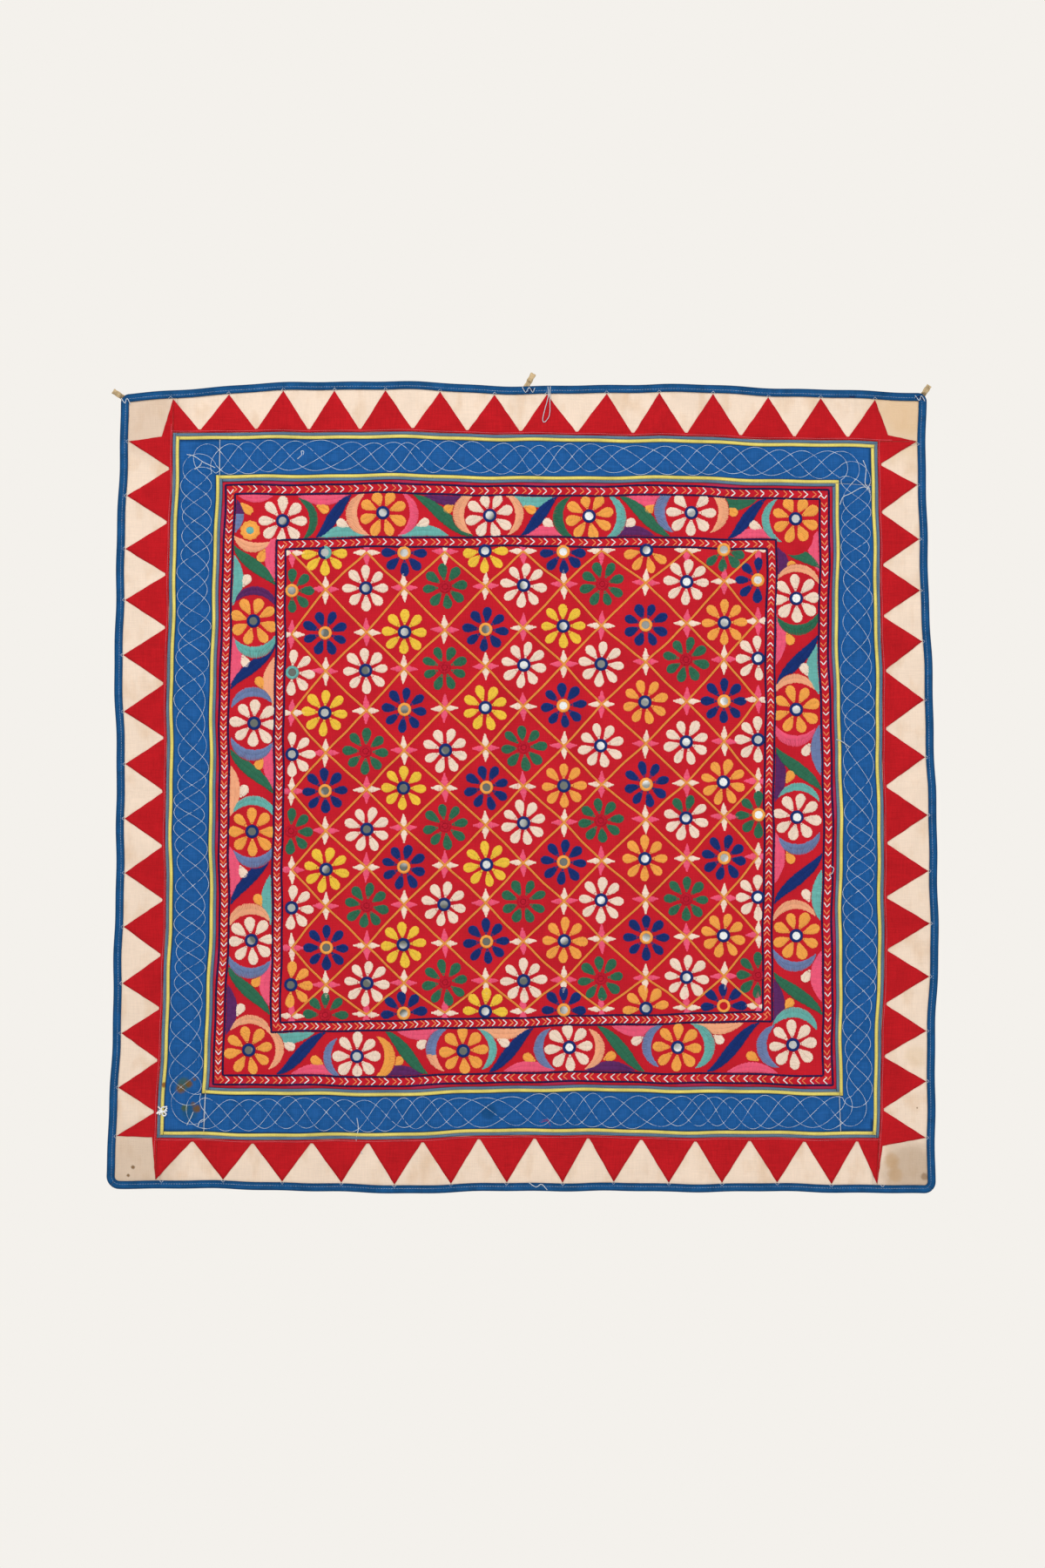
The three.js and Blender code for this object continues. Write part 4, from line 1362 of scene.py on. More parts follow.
class HangingColours(PropertyGroup):
    """Colours that a user would change."""

    panel: colour_property("Panel", "Red ground of the centre panel", "#C71E2C")
    margin: colour_property("Panel margin", "Unfaded red beside the pipings", "#B42B4C")
    band: colour_property("Blue band", "Quilted blue band", "#165595")
    yellow_piping: colour_property("Yellow piping", "Folded yellow trim", "#EBDA72")
    pale_piping: colour_property("Pale piping", "Folded grey blue trim", "#617F99")
    cream: colour_property("Cream ground", "Ground of the outer border", "#F3DDC8")
    teeth: colour_property("Applique", "Red dog-tooth strips", "#BE1A22")
    binding: colour_property("Binding", "Folded blue edge", "#1C568B")
    tape: colour_property("Loop tape", "Beige hanging loops", "#DCC094")
    thread_cream: colour_property("Cream floss", "Cream petals and stars", "#FFE9D5")
    thread_yellow: colour_property("Yellow floss", "Yellow petals", "#FFD549")
    thread_orange: colour_property("Orange floss", "Orange petals and buds", "#FFB454")
    thread_marigold: colour_property("Marigold floss", "Second row of the lattice", "#FFA347")
    thread_salmon: colour_property("Salmon floss", "Chevrons", "#FF9460")
    thread_navy: colour_property("Navy floss", "Navy petals, rings and leaves", "#163680")
    thread_green: colour_property("Green floss", "Green petals and leaves", "#367A5C")
    thread_red: colour_property("Red floss", "Hearts of the green flowers", "#CC1A34")
    thread_pink: colour_property("Pink floss", "Pink segments and stars", "#FD6589")
    thread_teal: colour_property("Teal floss", "Teal segments and crescents", "#7AC7C0")
    thread_peach: colour_property("Peach floss", "Peach crescents", "#FFBA90")
    thread_violet: colour_property("Violet floss", "Blue violet crescents", "#7F93C2")
    thread_purple: colour_property("Purple floss", "Purple segments", "#6B2F71")
    thread_white: colour_property("White floss", "White chevrons", "#FFFFFF")
    chain: colour_property("Chain floss", "Dark lines beside the chevrons", "#221A55")
    white: colour_property("White thread", "Quilting and tacking stitches", "#E2EBF5")
    rose: colour_property("Rose thread", "Seam stitches on the red applique", "#E46672")
    # The mirrors' bright colour, drawn towards dull grey on the left: painted reflection.
    mirror: colour_property("Mirror", "Bright mirror glass", "#F4F7F6")


def deeper(colour, share):
    """A colour drawn towards black."""
    return (*[c * share for c in colour[:3]], 1.0)


LOOKS = {}


def look(name):
    """The material of one finish, made when it is first asked for."""
    if name not in LOOKS:
        LOOKS[name] = LOOK_MAKERS[name](bpy.context.scene.hanging_colours)
    return LOOKS[name]


TAN = "#D9BD95"
BROWN = "#7A5A36"
STAINS = {
    # x, z and radius in millimetres, hue, strength
    "band": (
        (-504.0, -1025.0, 11.0, "#3F5C4A", 0.8),
        (-496.0, -1024.5, 6.0, "#6B4E22", 0.9),
        (-508.5, -1032.0, 7.5, "#6B4E22", 0.85),
        (-487.6, -1018.0, 3.0, "#6B4E22", 0.7),
        (-495.0, -1066.0, 13.0, "#1F4F6C", 0.6),
        (-484.2, -1061.2, 6.5, "#6B4E22", 0.9),
        (-489.7, -1054.5, 4.0, "#6B4E22", 0.7),
        (-502.5, -1060.0, 5.5, "#46592E", 0.8),
        (-55.0, -1066.0, 13.0, "#0F426F", 0.6),
    ),
    "cream": (
        (560.0, -45.0, 75.0, TAN, 0.6),
        (566.0, -1152.0, 50.0, "#A88F74", 0.6),
        (536.0, -1138.0, 12.0, "#BC9058", 0.4),
        (542.0, -1158.0, 12.0, "#BC9058", 0.35),
        (556.0, -30.0, 48.0, "#DDAE78", 0.3),
        (-565.0, -42.0, 70.0, "#C0A48C", 0.45),
        (585.0, -1161.0, 6.0, BROWN, 0.6),
        (572.0, -985.0, 18.0, TAN, 0.35),
        (574.0, -1060.0, 1.4, BROWN, 0.8),
        (-570.0, -1140.0, 62.0, "#C0A890", 0.5),
        (-578.0, -1147.0, 3.2, BROWN, 0.9),
        (-585.0, -1159.0, 2.6, BROWN, 0.9),
    ),
    "yellow_piping": ((-532.5, -1026.0, 4.6, "#8A4F1E", 0.9),),
}


def cloth_look(title, key, share, fold=None, **finishes):
    """The look of a cloth; fold is how much of its colour is left in the painted shade along its folded
    edges.
    """

    def make(colours):
        colour = tuple(getattr(colours, key))
        marks = [("fold", deeper(colour, fold))] if fold else ()
        shade = deeper(colour, share)
        return cotton(title, colour, shade, STAINS.get(key, ()), marks=marks, **finishes)

    return make


def thread_look(title, key, share):
    def make(colours):
        colour = tuple(getattr(colours, key))
        return floss(title, colour, deeper(colour, share))

    return make


def panel_look(colours):
    marks = [("margin", tuple(colours.margin))]
    return cotton("red woven cotton", tuple(colours.panel), deeper(colours.panel, 0.84), marks=marks)


def band_look(colours):
    blue = tuple(colours.band)
    # Painted light: the pillows between the waves are lightened as if lit, and the shade mark is
    # painted shadow beside the pipings.
    puffed = (*[0.008 + 1.06 * c for c in blue[:3]], 1.0)
    marks = [("pillow", puffed), ("shade", deeper(blue, 0.35))]
    return cotton("blue woven cotton", blue, deeper(blue, 0.8), STAINS["band"], 30.0, 1.3, marks)


def mirror_look(colours):
    return mirror_glass("silvered glass", tuple(colours.mirror), linear("#656B66"))


PIPING_CLOTH = {"cloud": 30.0, "slub": 0.9}
LOOK_MAKERS = {
    "panel": panel_look,
    "band": band_look,
    "mirror": mirror_look,
    # A fold share darkens a cloth's edges: painted shade on the binding's outer fold, painted shadow in
    # the grooves beside the pipings and at the binding's inner edge.
    "binding": cloth_look("blue cotton binding", "binding", 0.7, 0.45, cloud=16.0, slub=1.4),
    "yellow_piping": cloth_look("yellow cotton piping", "yellow_piping", 0.8, 0.4, **PIPING_CLOTH),
    "pale_piping": cloth_look("grey blue cotton piping", "pale_piping", 0.8, 0.2, **PIPING_CLOTH),
    "cream": cloth_look("cream woven cotton", "cream", 0.93, cloud=45.0, slub=0.35, soil="#D8B48F"),
    "teeth": cloth_look("red cotton applique", "teeth", 0.86, cloud=40.0, slub=1.0),
    "tape": cloth_look("beige cotton tape", "tape", 0.5, cloud=5.0, slub=1.5),
    "violet_thread": thread_look("blue violet cotton floss", "thread_violet", 0.76),
    "chain_thread": thread_look("dark violet cotton floss", "chain", 0.6),
    "white_thread": thread_look("white cotton sewing thread", "white", 0.85),
    "bright_thread": thread_look("white cotton floss", "thread_white", 0.9),
    "rose_thread": thread_look("rose cotton sewing thread", "rose", 0.9),
}
# The other flosses, and how much of its colour each keeps in its darkest stitches.
FLOSS = {
    "cream": 0.96,
    "yellow": 0.93,
    "orange": 0.96,
    "marigold": 0.88,
    "salmon": 0.88,
    "navy": 0.76,
    "green": 0.76,
    "pink": 0.86,
    "teal": 0.76,
    "peach": 0.94,
    "purple": 0.76,
    "red": 0.76,
}
LOOK_MAKERS.update({
    f"{dye}_thread": thread_look(f"{dye} cotton floss", f"thread_{dye}", share)
    for dye, share in FLOSS.items()
})

# ---- Operators ----


# The panel's rough size, which sets its number of mesh lines, and the x from which they are fitted.
PANEL = {"width": 912, "height": 895, "from": -460, "span": 918}


class HANGING_OT_centre_panel(Operator):
    """Make the red centre panel"""

    bl_idname = "hanging.centre_panel"
    bl_label = "Centre panel"

    def execute(self, context):
        step = context.scene.hanging_sizes.cloth_step / MM
        edge = ring("inner_seam", -GAP / 2)
        across = np.linspace(0, 1, int(PANEL["width"] / step))[:, None]
        up = np.linspace(0, 1, int(PANEL["height"] / step))[None, :]
        x = PANEL["from"] + PANEL["span"] * across + 0 * up
        z = edge["bottom"](x) * (1 - up) + edge["top"](x) * up
        for _ in range(4):
            x = edge["left"](z) * (1 - across) + edge["right"](z) * across
            z = edge["bottom"](x) * (1 - up) + edge["top"](x) * up
        plan = np.stack([x, z], -1)
        made = sheet_object("panel_cloth", plan, 0, CLOTH)
        mark_points(made, "margin", ~inside(plan, ring("outer_chain", 1.5)))
        finished(made, "panel", ["centre_panel"])
        distance_along(plan)
        return {"FINISHED"}


# Shares of the band's width at which its cloth has a row of points; close together at the pipings.
BAND_SHARES = (0, 0.07, 0.086, 0.115, 0.2, 0.31, 0.42, 0.5, 0.58, 0.69, 0.8, 0.885, 0.914, 0.93, 1)
# How high the cloth puffs up, how far from a stitched wave it is at its full height, and how wide
# the painted shadow beside the pipings is.
QUILT = {"puff": 0.7, "reach": 8.0, "shade": 1.3}


class HANGING_OT_blue_band(Operator):
    """Make the four strips of the quilted blue band"""

    bl_idname = "hanging.blue_band"
    bl_label = "Blue band"

    def execute(self, context):
        inner, outer = ring("inner_seam", GAP / 2), ring("outer_seam", -GAP / 2)
        shaded = YELLOW_PIPING + QUILT["shade"]
        low_shade, high_shade = ring("inner_seam", shaded), ring("outer_seam", -shaded)
        quilted = np.concatenate(strands())
        for side in SIDES:
            plan = strip_grid(side, inner, outer, 5.0, BAND_SHARES)
            low, high = plan.min((0, 1)) - 10, plan.max((0, 1)) + 10
            near = quilted[((quilted > low) & (quilted < high)).all(-1)]
            gaps = how_long(plan[:, :, None, :] - near).min(-1)
            pillow = np.clip(gaps / QUILT["reach"], 0, 1)
            made = sheet_object(f"band_cloth_{side}", plan, 0, CLOTH, QUILT["puff"] * pillow)
            # The pillow mark carries a painted highlight, the shade mark a painted shadow beside the
            # pipings.
            mark_points(made, "pillow", pillow)
            mark_points(made, "shade", inside(plan, low_shade) | ~inside(plan, high_shade))
            finished(made, "band", [f"blue_band_{side}"])
            distance_along(plan)
        return {"FINISHED"}


PIPINGS = (
    # name, seam, inner offset, outer offset, height of the crown, look
    ("outer_pale", "outer_seam", GAP / 2, PALE_PIPING + GAP / 2, 2.7, "pale_piping"),
    ("outer_yellow", "outer_seam", -YELLOW_PIPING - GAP / 2, -GAP / 2, 3.1, "yellow_piping"),
    ("inner_yellow", "inner_seam", GAP / 2, YELLOW_PIPING + GAP / 2, 3.1, "yellow_piping"),
    ("inner_pale", "inner_seam", -PALE_PIPING - GAP / 2, -GAP / 2, 2.7, "pale_piping"),
)
PIPING_FOOT = 1.3  # lift of a piping's edges


class HANGING_OT_pipings(Operator):
    """Make the folded pipings in both seams"""

    bl_idname = "hanging.pipings"
    bl_label = "Pipings"

    def execute(self, context):
        shares = np.linspace(0, 1, 6)
        for name, seam, low, high, crown, finish in PIPINGS:
            parts, painted_groove_shade = [], []
            for side in SIDES:
                plan = strip_grid(side, ring(seam, low), ring(seam, high), 9.0, shares)
                arch = np.sin(np.pi * (0.06 + 0.88 * shares)) ** 0.6
                arch = PIPING_FOOT + (crown - PIPING_FOOT) * arch
                x, z = plan[..., 0], plan[..., 1]
                front = on_cloth(x, z, arch[None, :])
                parts.append(grid_shell(front, on_cloth(x, z, CLOTH + 0.02)))
                # The piping's two long edges are marked to be darkened: painted shadow in the grooves
                # beside it.
                edges = np.zeros((2, *plan.shape[:2]))
                edges[..., [0, -1]] = 1
                painted_groove_shade.append(edges.ravel())
            made = make_object(f"{name}_piping_cloth", *joined(parts))
            mark_points(made, "fold", np.concatenate(painted_groove_shade))
            finished(made, finish, [f"{name}_piping_{side}" for side in SIDES])
        return {"FINISHED"}


class HANGING_OT_cream_border(Operator):
    """Make the cream ground of the outer border"""

    bl_idname = "hanging.cream_border"
    bl_label = "Cream border"

    def execute(self, context):
        inner, outer = ring("outer_seam", GAP / 2), ring("edge", -GROUND_INSET)
        for side in SIDES:
            plan = rounded_off(strip_grid(side, inner, outer, 7.0, np.linspace(0, 1, 13)))
            made = sheet_object(f"cream_cloth_{side}", plan, 0, CLOTH)
            finished(made, "cream", [f"cream_border_{side}"])
            distance_along(plan)
        return {"FINISHED"}


class HANGING_OT_red_teeth(Operator):
    """Make the red dog-tooth applique"""

    bl_idname = "hanging.red_teeth"
    bl_label = "Dog-tooth applique"

    def execute(self, context):
        for side in SIDES:
            plan = tooth_plan(side)
            made = sheet_object(f"teeth_cloth_{side}", plan, TEETH["low"], TEETH["high"], rounded=0.7)
            finished(made, "teeth", [f"red_teeth_{side}"])
            length, depth = distance_along(plan)
        return {"FINISHED"}


class HANGING_OT_binding(Operator):
    """Make the folded blue binding round the outer edge"""

    bl_idname = "hanging.binding"
    bl_label = "Edge binding"

    def execute(self, context):
        section = np.array(BINDING_SECTION)
        for side in SIDES:
            points, inward = outline_sections(side)
            plan = points[:, None, :] + inward[:, None, :] * section[None, :, :1]
            at = np.arange(len(points))[:, None]
            uneven = 0.12 * np.sin(at / 2.3) * (section[None, :, 1] > 2)
            lifts = section[None, :, 1] + uneven
            x, z = plan[..., 0], plan[..., 1]
            made = make_object(f"binding_cloth_{side}", *swept_shell(on_cloth(x, z, lifts)))
            inset = section[None, :, 0] + 0 * x
            # The binding's outer fold and its inner edge are darkened: painted shade where it turns
            # from the light, painted shadow at its inner edge.
            edges = np.clip(np.maximum(1 - inset / 3.4, (inset - 9.6) / 2.4), 0, 1)
            mark_points(made, "fold", edges)
            finished(made, "binding", [f"edge_binding_{side}"])
            length = how_long(np.diff(points, axis=0)).sum() * MM
        return {"FINISHED"}


LOOPS = (
    {"name": "left", "x": -592.0, "z": -17.0, "lean": -57.0, "reach": 19.0, "eye": 7.8},
    {"name": "centre", "x": 0.0, "z": 0.0, "lean": 29.0, "reach": 21.6, "eye": 6.8},
    {"name": "right", "x": 582.5, "z": -13.0, "lean": 34.0, "reach": 17.5, "eye": 8.0},
)
# "eye" is the radius inside the fold, "neck" how long the tape takes to close up below it, and the
# slack is the gap between its two layers.
TAPE = {"width": 8.4, "thickness": 1.2, "tail": 14.0, "back": 4.2, "eye": 2.5, "neck": 5.2}
TAPE_SLACK = 0.06
# The tape is folded lengthwise, so its section is two puffed halves with a line between them. It is
# given as shares of half its width and half its thickness.
TAPE_SECTION = (
    (-1, 0), (-0.9, 0.8), (-0.5, 1), (0, 0.55), (0.5, 1), (0.9, 0.8),
    (1, 0), (0.9, -0.8), (0.5, -1), (0, -0.55), (-0.5, -1), (-0.9, -0.8),
)


def tape_line(reach, eye):
    """The tape's folded centre line, as (along the loop, depth) from tail to tail."""
    half = TAPE["thickness"] / 2
    radius = TAPE["eye"] + half
    centre = TAPE["back"] - half - radius
    far = reach - radius - half
    neck = far - eye - TAPE["neck"]
    inner = TAPE["back"] - 1.5 * TAPE["thickness"] - TAPE_SLACK
    back = TAPE["back"] - half
    turn = np.linspace(0, np.pi, 13)
    bend = np.stack([far + radius * np.sin(turn), centre - radius * np.cos(turn)], -1)
    t = np.linspace(0, 1, 8)
    depth = inner + (centre - radius - inner) * (3 * t * t - 2 * t**3)
    rise = np.stack([neck + TAPE["neck"] * t, depth], -1)
    return np.array([(-TAPE["tail"], inner), *rise, *bend, (neck, back), (-TAPE["tail"], back)])


class HANGING_OT_loops(Operator):
    """Make the three folded tape loops"""

    bl_idname = "hanging.loops"
    bl_label = "Hanging loops"

    def execute(self, context):
        for loop in LOOPS:
            path = tape_line(loop["reach"], loop["eye"])
            points, _, normal = evenly(path, 1.0)
            section = np.array(TAPE_SECTION) * (TAPE["width"] / 2, TAPE["thickness"] / 2)
            lean = math.radians(loop["lean"])
            up = np.array([math.sin(lean), 0, math.cos(lean)])
            back = np.array([0, 1, 0])
            across = np.cross(up, back)
            rings = []
            for (u, v), (nu, nv) in zip(points, normal):
                pinch = 1 - 0.14 * math.sin(u / 3.1) ** 2
                centre = up * u + back * v + np.array([loop["x"], 0, loop["z"]])
                out = up * nu + back * nv
                rings.append([centre + across * s * pinch + out * c for s, c in section])
            made = make_object(f"loop_tape_{loop['name']}", *swept_shell(np.array(rings)))
            finished(made, "tape", [f"hanging_loop_{loop['name']}"])
        return {"FINISHED"}


class HANGING_OT_flowers(Operator):
    """Embroider the flowers of the field and of the scroll border"""

    bl_idname = "hanging.flowers"
    bl_label = "Flowers"

    def execute(self, context):
        sizes = context.scene.hanging_sizes
        rng = np.random.default_rng(31)
        pitch = sizes.petal_pitch / MM
        petals = {dye: [] for dye in ("cream", "yellow", "orange", "navy", "green")}
        rings = {dye: [] for dye in ("navy", "orange", "red", "teal")}
        room = {"limits": field_limits(), "tries": NUDGED, "rng": rng, "pitch": pitch}
        for number, x, z, letter, turn in field_flowers():
            for k, petal in enumerate(flower(x, z, turn, **room, **FIELD_FLOWER)):
                mended = k in GREEN_PETALS.get(number, ())
                petals["green" if mended else DYES[letter.upper()]].append(petal)
            if letter == "G":
                rings["red"] += [mirror_ring(x, z, *heart) for heart in RED_HEART]
            else:
                threads = mirror_ring(x, z, rise=0.3 if letter == "n" else 1.45, **MIRROR_RING)
                mended = round(len(threads) * TEAL_RINGS.get(number, 0))
                rings["teal"].append(threads[:mended])
                rings["orange" if letter in "Nng" else "navy"].append(threads[mended:])
        places = flower_places()
        border_limits = ring("outer_chain", -CHAIN_BAND - 0.6)
        room.update(limits=border_limits, tries=SHORTENED)
        inner_limits = ring("inner_chain", 0.5)
        off_field = lambda points: ~inside(points, inner_limits)
        for side, dyes in BORDER_DYES.items():
            for k, (letter, turn) in enumerate(zip(dyes, BORDER_TURNS[side]), 1):
                x, z = places[f"{side}_{k}"]
                for petal in flower(x, z, turn, **room, **BORDER_FLOWER):
                    petals[DYES[letter]].append(clipped(petal, off_field))
                rings["navy"].append(mirror_ring(x, z, **MIRROR_RING))
        width = sizes.thread_width / MM
        lay_dyed("petals", petals, lay_threads, "panel", 0, width=width, height=0.5)
        sizes = {"width": 1.15 * width, "height": 1.0}
        lay_dyed("mirror_rings", rings, lay_threads, "panel", 9, {"red": {"height": 0.5}}, **sizes)
        return {"FINISHED"}


# A small mirror's section from back to front, as (radius, lift).
FIELD_MIRROR = ((7.2, 1.25), (7.4, 1.95), (7.0, 2.2))


class HANGING_OT_mirrors(Operator):
    """Set the field's small mirrors, and silver the border's"""

    bl_idname = "hanging.mirrors"
    bl_label = "Mirrors"

    def execute(self, context):
        for name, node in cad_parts.items():
            if name.startswith("mirror_"):
                node.data.materials.clear()
                node.data.materials.append(look("mirror"))
        spots = [(x, z) for _, x, z, letter, _ in field_flowers() if letter not in "Gn"]
        parts = []
        count = 16
        angles = np.arange(count) * 360 / count
        for x, z in spots:
            rings = []
            for radius, lift in FIELD_MIRROR:
                plan = np.array([x, z]) + turned(radius, angles)
                flat = on_cloth(x, z, lift)
                rings.append(np.stack([plan[:, 0], np.full(count, flat[1]), plan[:, 1]], -1))
            parts.append(swept_shell(np.array(rings)))
        made = make_object("field_mirrors", *joined(parts))
        for polygon in made.data.polygons:
            polygon.use_smooth = False
        finished(made, "mirror")
        return {"FINISHED"}


class HANGING_OT_lattice(Operator):
    """Embroider the field's lattice and the stars on its crossings"""

    bl_idname = "hanging.lattice"
    bl_label = "Lattice and stars"

    def execute(self, context):
        pitch = context.scene.hanging_sizes.lattice_pitch / MM
        limits = field_limits()
        in_field = lambda points: inside(points, limits)
        rows = {"orange": [], "marigold": []}
        for path in lattice_paths():
            for dye, offset in (("orange", 0.75), ("marigold", -0.75)):
                for run in runs_inside(offset_path(path, offset), limits):
                    rows[dye].append(lifted(run, 0.55))
        sizes = {"pitch": pitch, "width": 1.35, "height": 0.6, "cover": 1.25}
        lay_dyed("lattice", rows, lay_rows, "panel", 61, **sizes)
        rng = np.random.default_rng(33)
        arms = {"cream": [], "pink": []}
        for row, column, (x, z) in field_crossings():
            upright_cream = (row % 2 == 1) != ((row, column) in SWAPPED_STARS)
            for k in range(4):
                vertical = k % 2 == 0
                dye = "cream" if vertical == upright_cream else "pink"
                reach = STAR["up" if vertical else "across"] * rng.uniform(0.93, 1.07)
                width = STAR["up_width" if vertical else "across_width"] * rng.uniform(0.93, 1.07)
                angle = 90 * k + rng.uniform(-4, 4)
                spine = np.array([x, z]) + turned(np.linspace(1.0, reach, 8), angle)
                arm = shape_threads(spine, width, arm_share, 1.7, rng, rows=1)
                arms[dye].append(clipped(arm, in_field))
        lay_dyed("stars", arms, lay_threads, "panel", 41, width=2.1, height=0.5)
        return {"FINISHED"}


class HANGING_OT_scroll_border(Operator):
    """Embroider the scroll border's crescents, leaves, segments and buds"""

    bl_idname = "hanging.scroll_border"
    bl_label = "Scroll border"

    def execute(self, context):
        rng = np.random.default_rng(32)
        places = flower_places()
        shapes = []
        for side, gaps in GAPS.items():
            for gap in gaps:
                shapes += gap_shapes(side, gap, places, rng)
        shapes += corner_shapes(rng)
        outer_limits = ring("outer_chain", -CHAIN_BAND - 1.2)
        inner_limits = ring("inner_chain", 1.2)
        dyed = {}
        in_border = lambda points: inside(points, outer_limits) & ~inside(points, inner_limits)
        for dye, threads in shapes:
            dyed.setdefault(dye, []).append(clipped(threads, in_border))
        dyed = dict(sorted(dyed.items()))
        lay_dyed("scroll", dyed, lay_threads, "panel", 71, width=1.85, height=0.55)
        return {"FINISHED"}


class HANGING_OT_chain_borders(Operator):
    """Embroider the navy chain lines and the chevrons between them"""

    bl_idname = "hanging.chain_borders"
    bl_label = "Chain lines and chevrons"

    def execute(self, context):
        pitch = context.scene.hanging_sizes.chain_pitch / MM
        paths = []
        for name in ("outer_chain", "inner_chain"):
            for offset in (0.0, -CHAIN_BAND):
                paths.append(lifted(ring_path(name, offset), 0.1))
        sizes = {"pitch": pitch, "width": 3.0, "height": 1.1, "cover": 1.2}
        lay_rows("chain_lines", paths, "chain_thread", "panel", seed=51, **sizes)
        lay_dyed("chevrons", chevron_threads(), lay_threads, "panel", 54, width=1.75, height=0.9)
        return {"FINISHED"}


class HANGING_OT_quilting(Operator):
    """Stitch the interlaced waves on the blue band"""

    bl_idname = "hanging.quilting"
    bl_label = "Quilting"

    def execute(self, context):
        pitch = context.scene.hanging_sizes.quilting_pitch / MM
        paths = [lifted(path) for path in strands() + butt_seams()]
        sizes = {"pitch": pitch, "width": 0.95, "height": 0.5, "cover": 1.3}
        lay_rows("quilting", paths, "white_thread", "band", seed=81, **sizes)
        return {"FINISHED"}


SEAM = {
    "binding": 7.2,  # the binding's row, from the outline
    "tack": 9.0,  # the outer end of a tip's tacks, from the outline
    "applique": 7.2,  # the applique's row, from the outer seam
    "strip": 14.0,  # the far side of the strip that this row is worked on, from the outline
    "clear": 46.0,  # the least distance of this row from the outline
}


class HANGING_OT_seam_stitches(Operator):
    """Stitch the binding, the applique and the tooth tips"""

    bl_idname = "hanging.seam_stitches"
    bl_label = "Seam stitches"

    def execute(self, context):
        binding, base, tacks = [], [], []
        for side in SIDES:
            points, inward = outline_sections(side)
            binding.append(lifted(points + inward * SEAM["binding"], 1.6))
            lines = ring("outer_seam", SEAM["applique"]), ring("edge", -SEAM["strip"])
            row = strip_grid(side, *lines, 5.0, (0.0, 1.0))[:, 0]
            base.append(lifted(row[inside(row, ring("edge", -SEAM["clear"]))], 1.35))
        rng = np.random.default_rng(16)
        for side in SIDES:
            edge = line("edge", side)
            for tip in TOOTH_TIPS[side]:
                for lean in (-1, 1):
                    near = edge(tip) - OUTWARD[side] * SEAM["tack"]
                    top = placed(side, tip + rng.uniform(-0.4, 0.4), near)
                    foot_along = tip + lean * rng.uniform(2.6, 3.8)
                    foot = placed(side, foot_along, edge(tip) - OUTWARD[side] * rng.uniform(12, 13.5))
                    tacks.append([[*top, 1.75], [*foot, 1.4]])
        sizes = {"pitch": 3.8, "width": 0.35, "height": 0.3, "cover": 0.75}
        lay_rows("binding_stitches", binding, "white_thread", "binding", seed=91, **sizes)
        sizes = {"pitch": 3.0, "width": 0.85, "height": 0.35, "cover": 1.02}
        lay_rows("applique_stitches", base, "rose_thread", "teeth", seed=92, **sizes)
        sizes = {"width": 0.6, "height": 0.4}
        lay_threads("tip_tacks", [np.array(tacks)], "white_thread", "binding", seed=93, **sizes)
        return {"FINISHED"}


# Threads that have worked loose, and untidy stitches at the loops: the dye, how far they stand off
# the ground cloth, and their course in the hanging plane.
LOOSE_THREADS = (
    (
        "white",
        2.3,
        ((31.5, -1), (31.9, -15), (24.1, -46), (26.4, -53), (33.7, -42), (34.4, -17), (35, -1)),
    ),
    ("white", 0.5, ((-498.7, -100.5), (-488, -103), (-474, -112), (-457.7, -119.7))),
    ("white", 0.5, ((-476.3, -110.7), (-480, -117), (-487.2, -122.2))),
    ("white", 0.6, ((-336, -107), (-330, -101), (-331, -96), (-327, -96), (-328, -101))),
    ("white", 0.6, ((494.6, -109.4), (498.7, -121.5), (497.4, -143), (504.1, -150.4))),
    (
        "white",
        0.6,
        ((460.3, -174), (465, -163), (475.8, -157.8), (493.3, -148.5), (502.8, -151.2),
         (504.8, -156.5)),
    ),
    ("white", 0.6, ((-489.6, -1066), (-493, -1074), (-499, -1085))),
    ("white", 0.6, ((-482.9, -1087.6), (-480, -1080), (-473.4, -1076.8), (-474, -1083))),
    (
        "bright",
        2.1,
        ((-541, -1058), (-535, -1064), (-529, -1069), (-534, -1071), (-536, -1060), (-528, -1058)),
    ),
    ("bright", 2.1, ((-528, -1064), (-536, -1066), (-543, -1068), (-537, -1063), (-539, -1070))),
    ("bright", 2.6, ((-539, -1060), (-533, -1065), (-528, -1060))),
    ("white", 1.0, ((446, -705), (451, -708), (449, -715), (445, -718), (447, -722))),
    ("white", 2.2, ((455, -519), (463, -522), (474, -530))),
    ("white", 0.5, ((-249, -1074.6), (-247, -1090), (-250, -1108), (-241.4, -1127))),
    ("white", 2.2, ((4, -1170), (14, -1176), (22, -1172), (30, -1180))),
    ("white", 2.2, ((-6, -2), (-1, -9), (4, -2), (9, -9), (12, -3))),
    ("white", 2.2, ((571, -14), (577, -21), (580, -14), (585, -22))),
    ("white", 2.2, ((-595, -18), (-590, -25), (-587, -18), (-582, -26))),
    ("red", 0.2, ((18.6, -1080.2), (23.2, -1078.3), (29.9, -1077.1), (32.2, -1080.2), (38.9, -1094))),
    ("red", 0.2, ((21, -1081.5), (26, -1079.8), (30, -1078.9))),
    ("chain", 2.2, ((475, -15.4), (479, -16), (482, -15.2))),
    ("chain", 2.2, ((-4, -4), (2, -10), (7, -3), (10, -8))),
    ("chain", 2.2, ((572, -18), (578, -15), (583, -21))),
)


def drawn(course):
    """A smooth plan path through the points of a course."""
    x, z = np.array(course, float).T
    t = np.linspace(0, len(course) - 1, 12 * len(course))
    return np.stack([through(x, t), through(z, t)], -1)


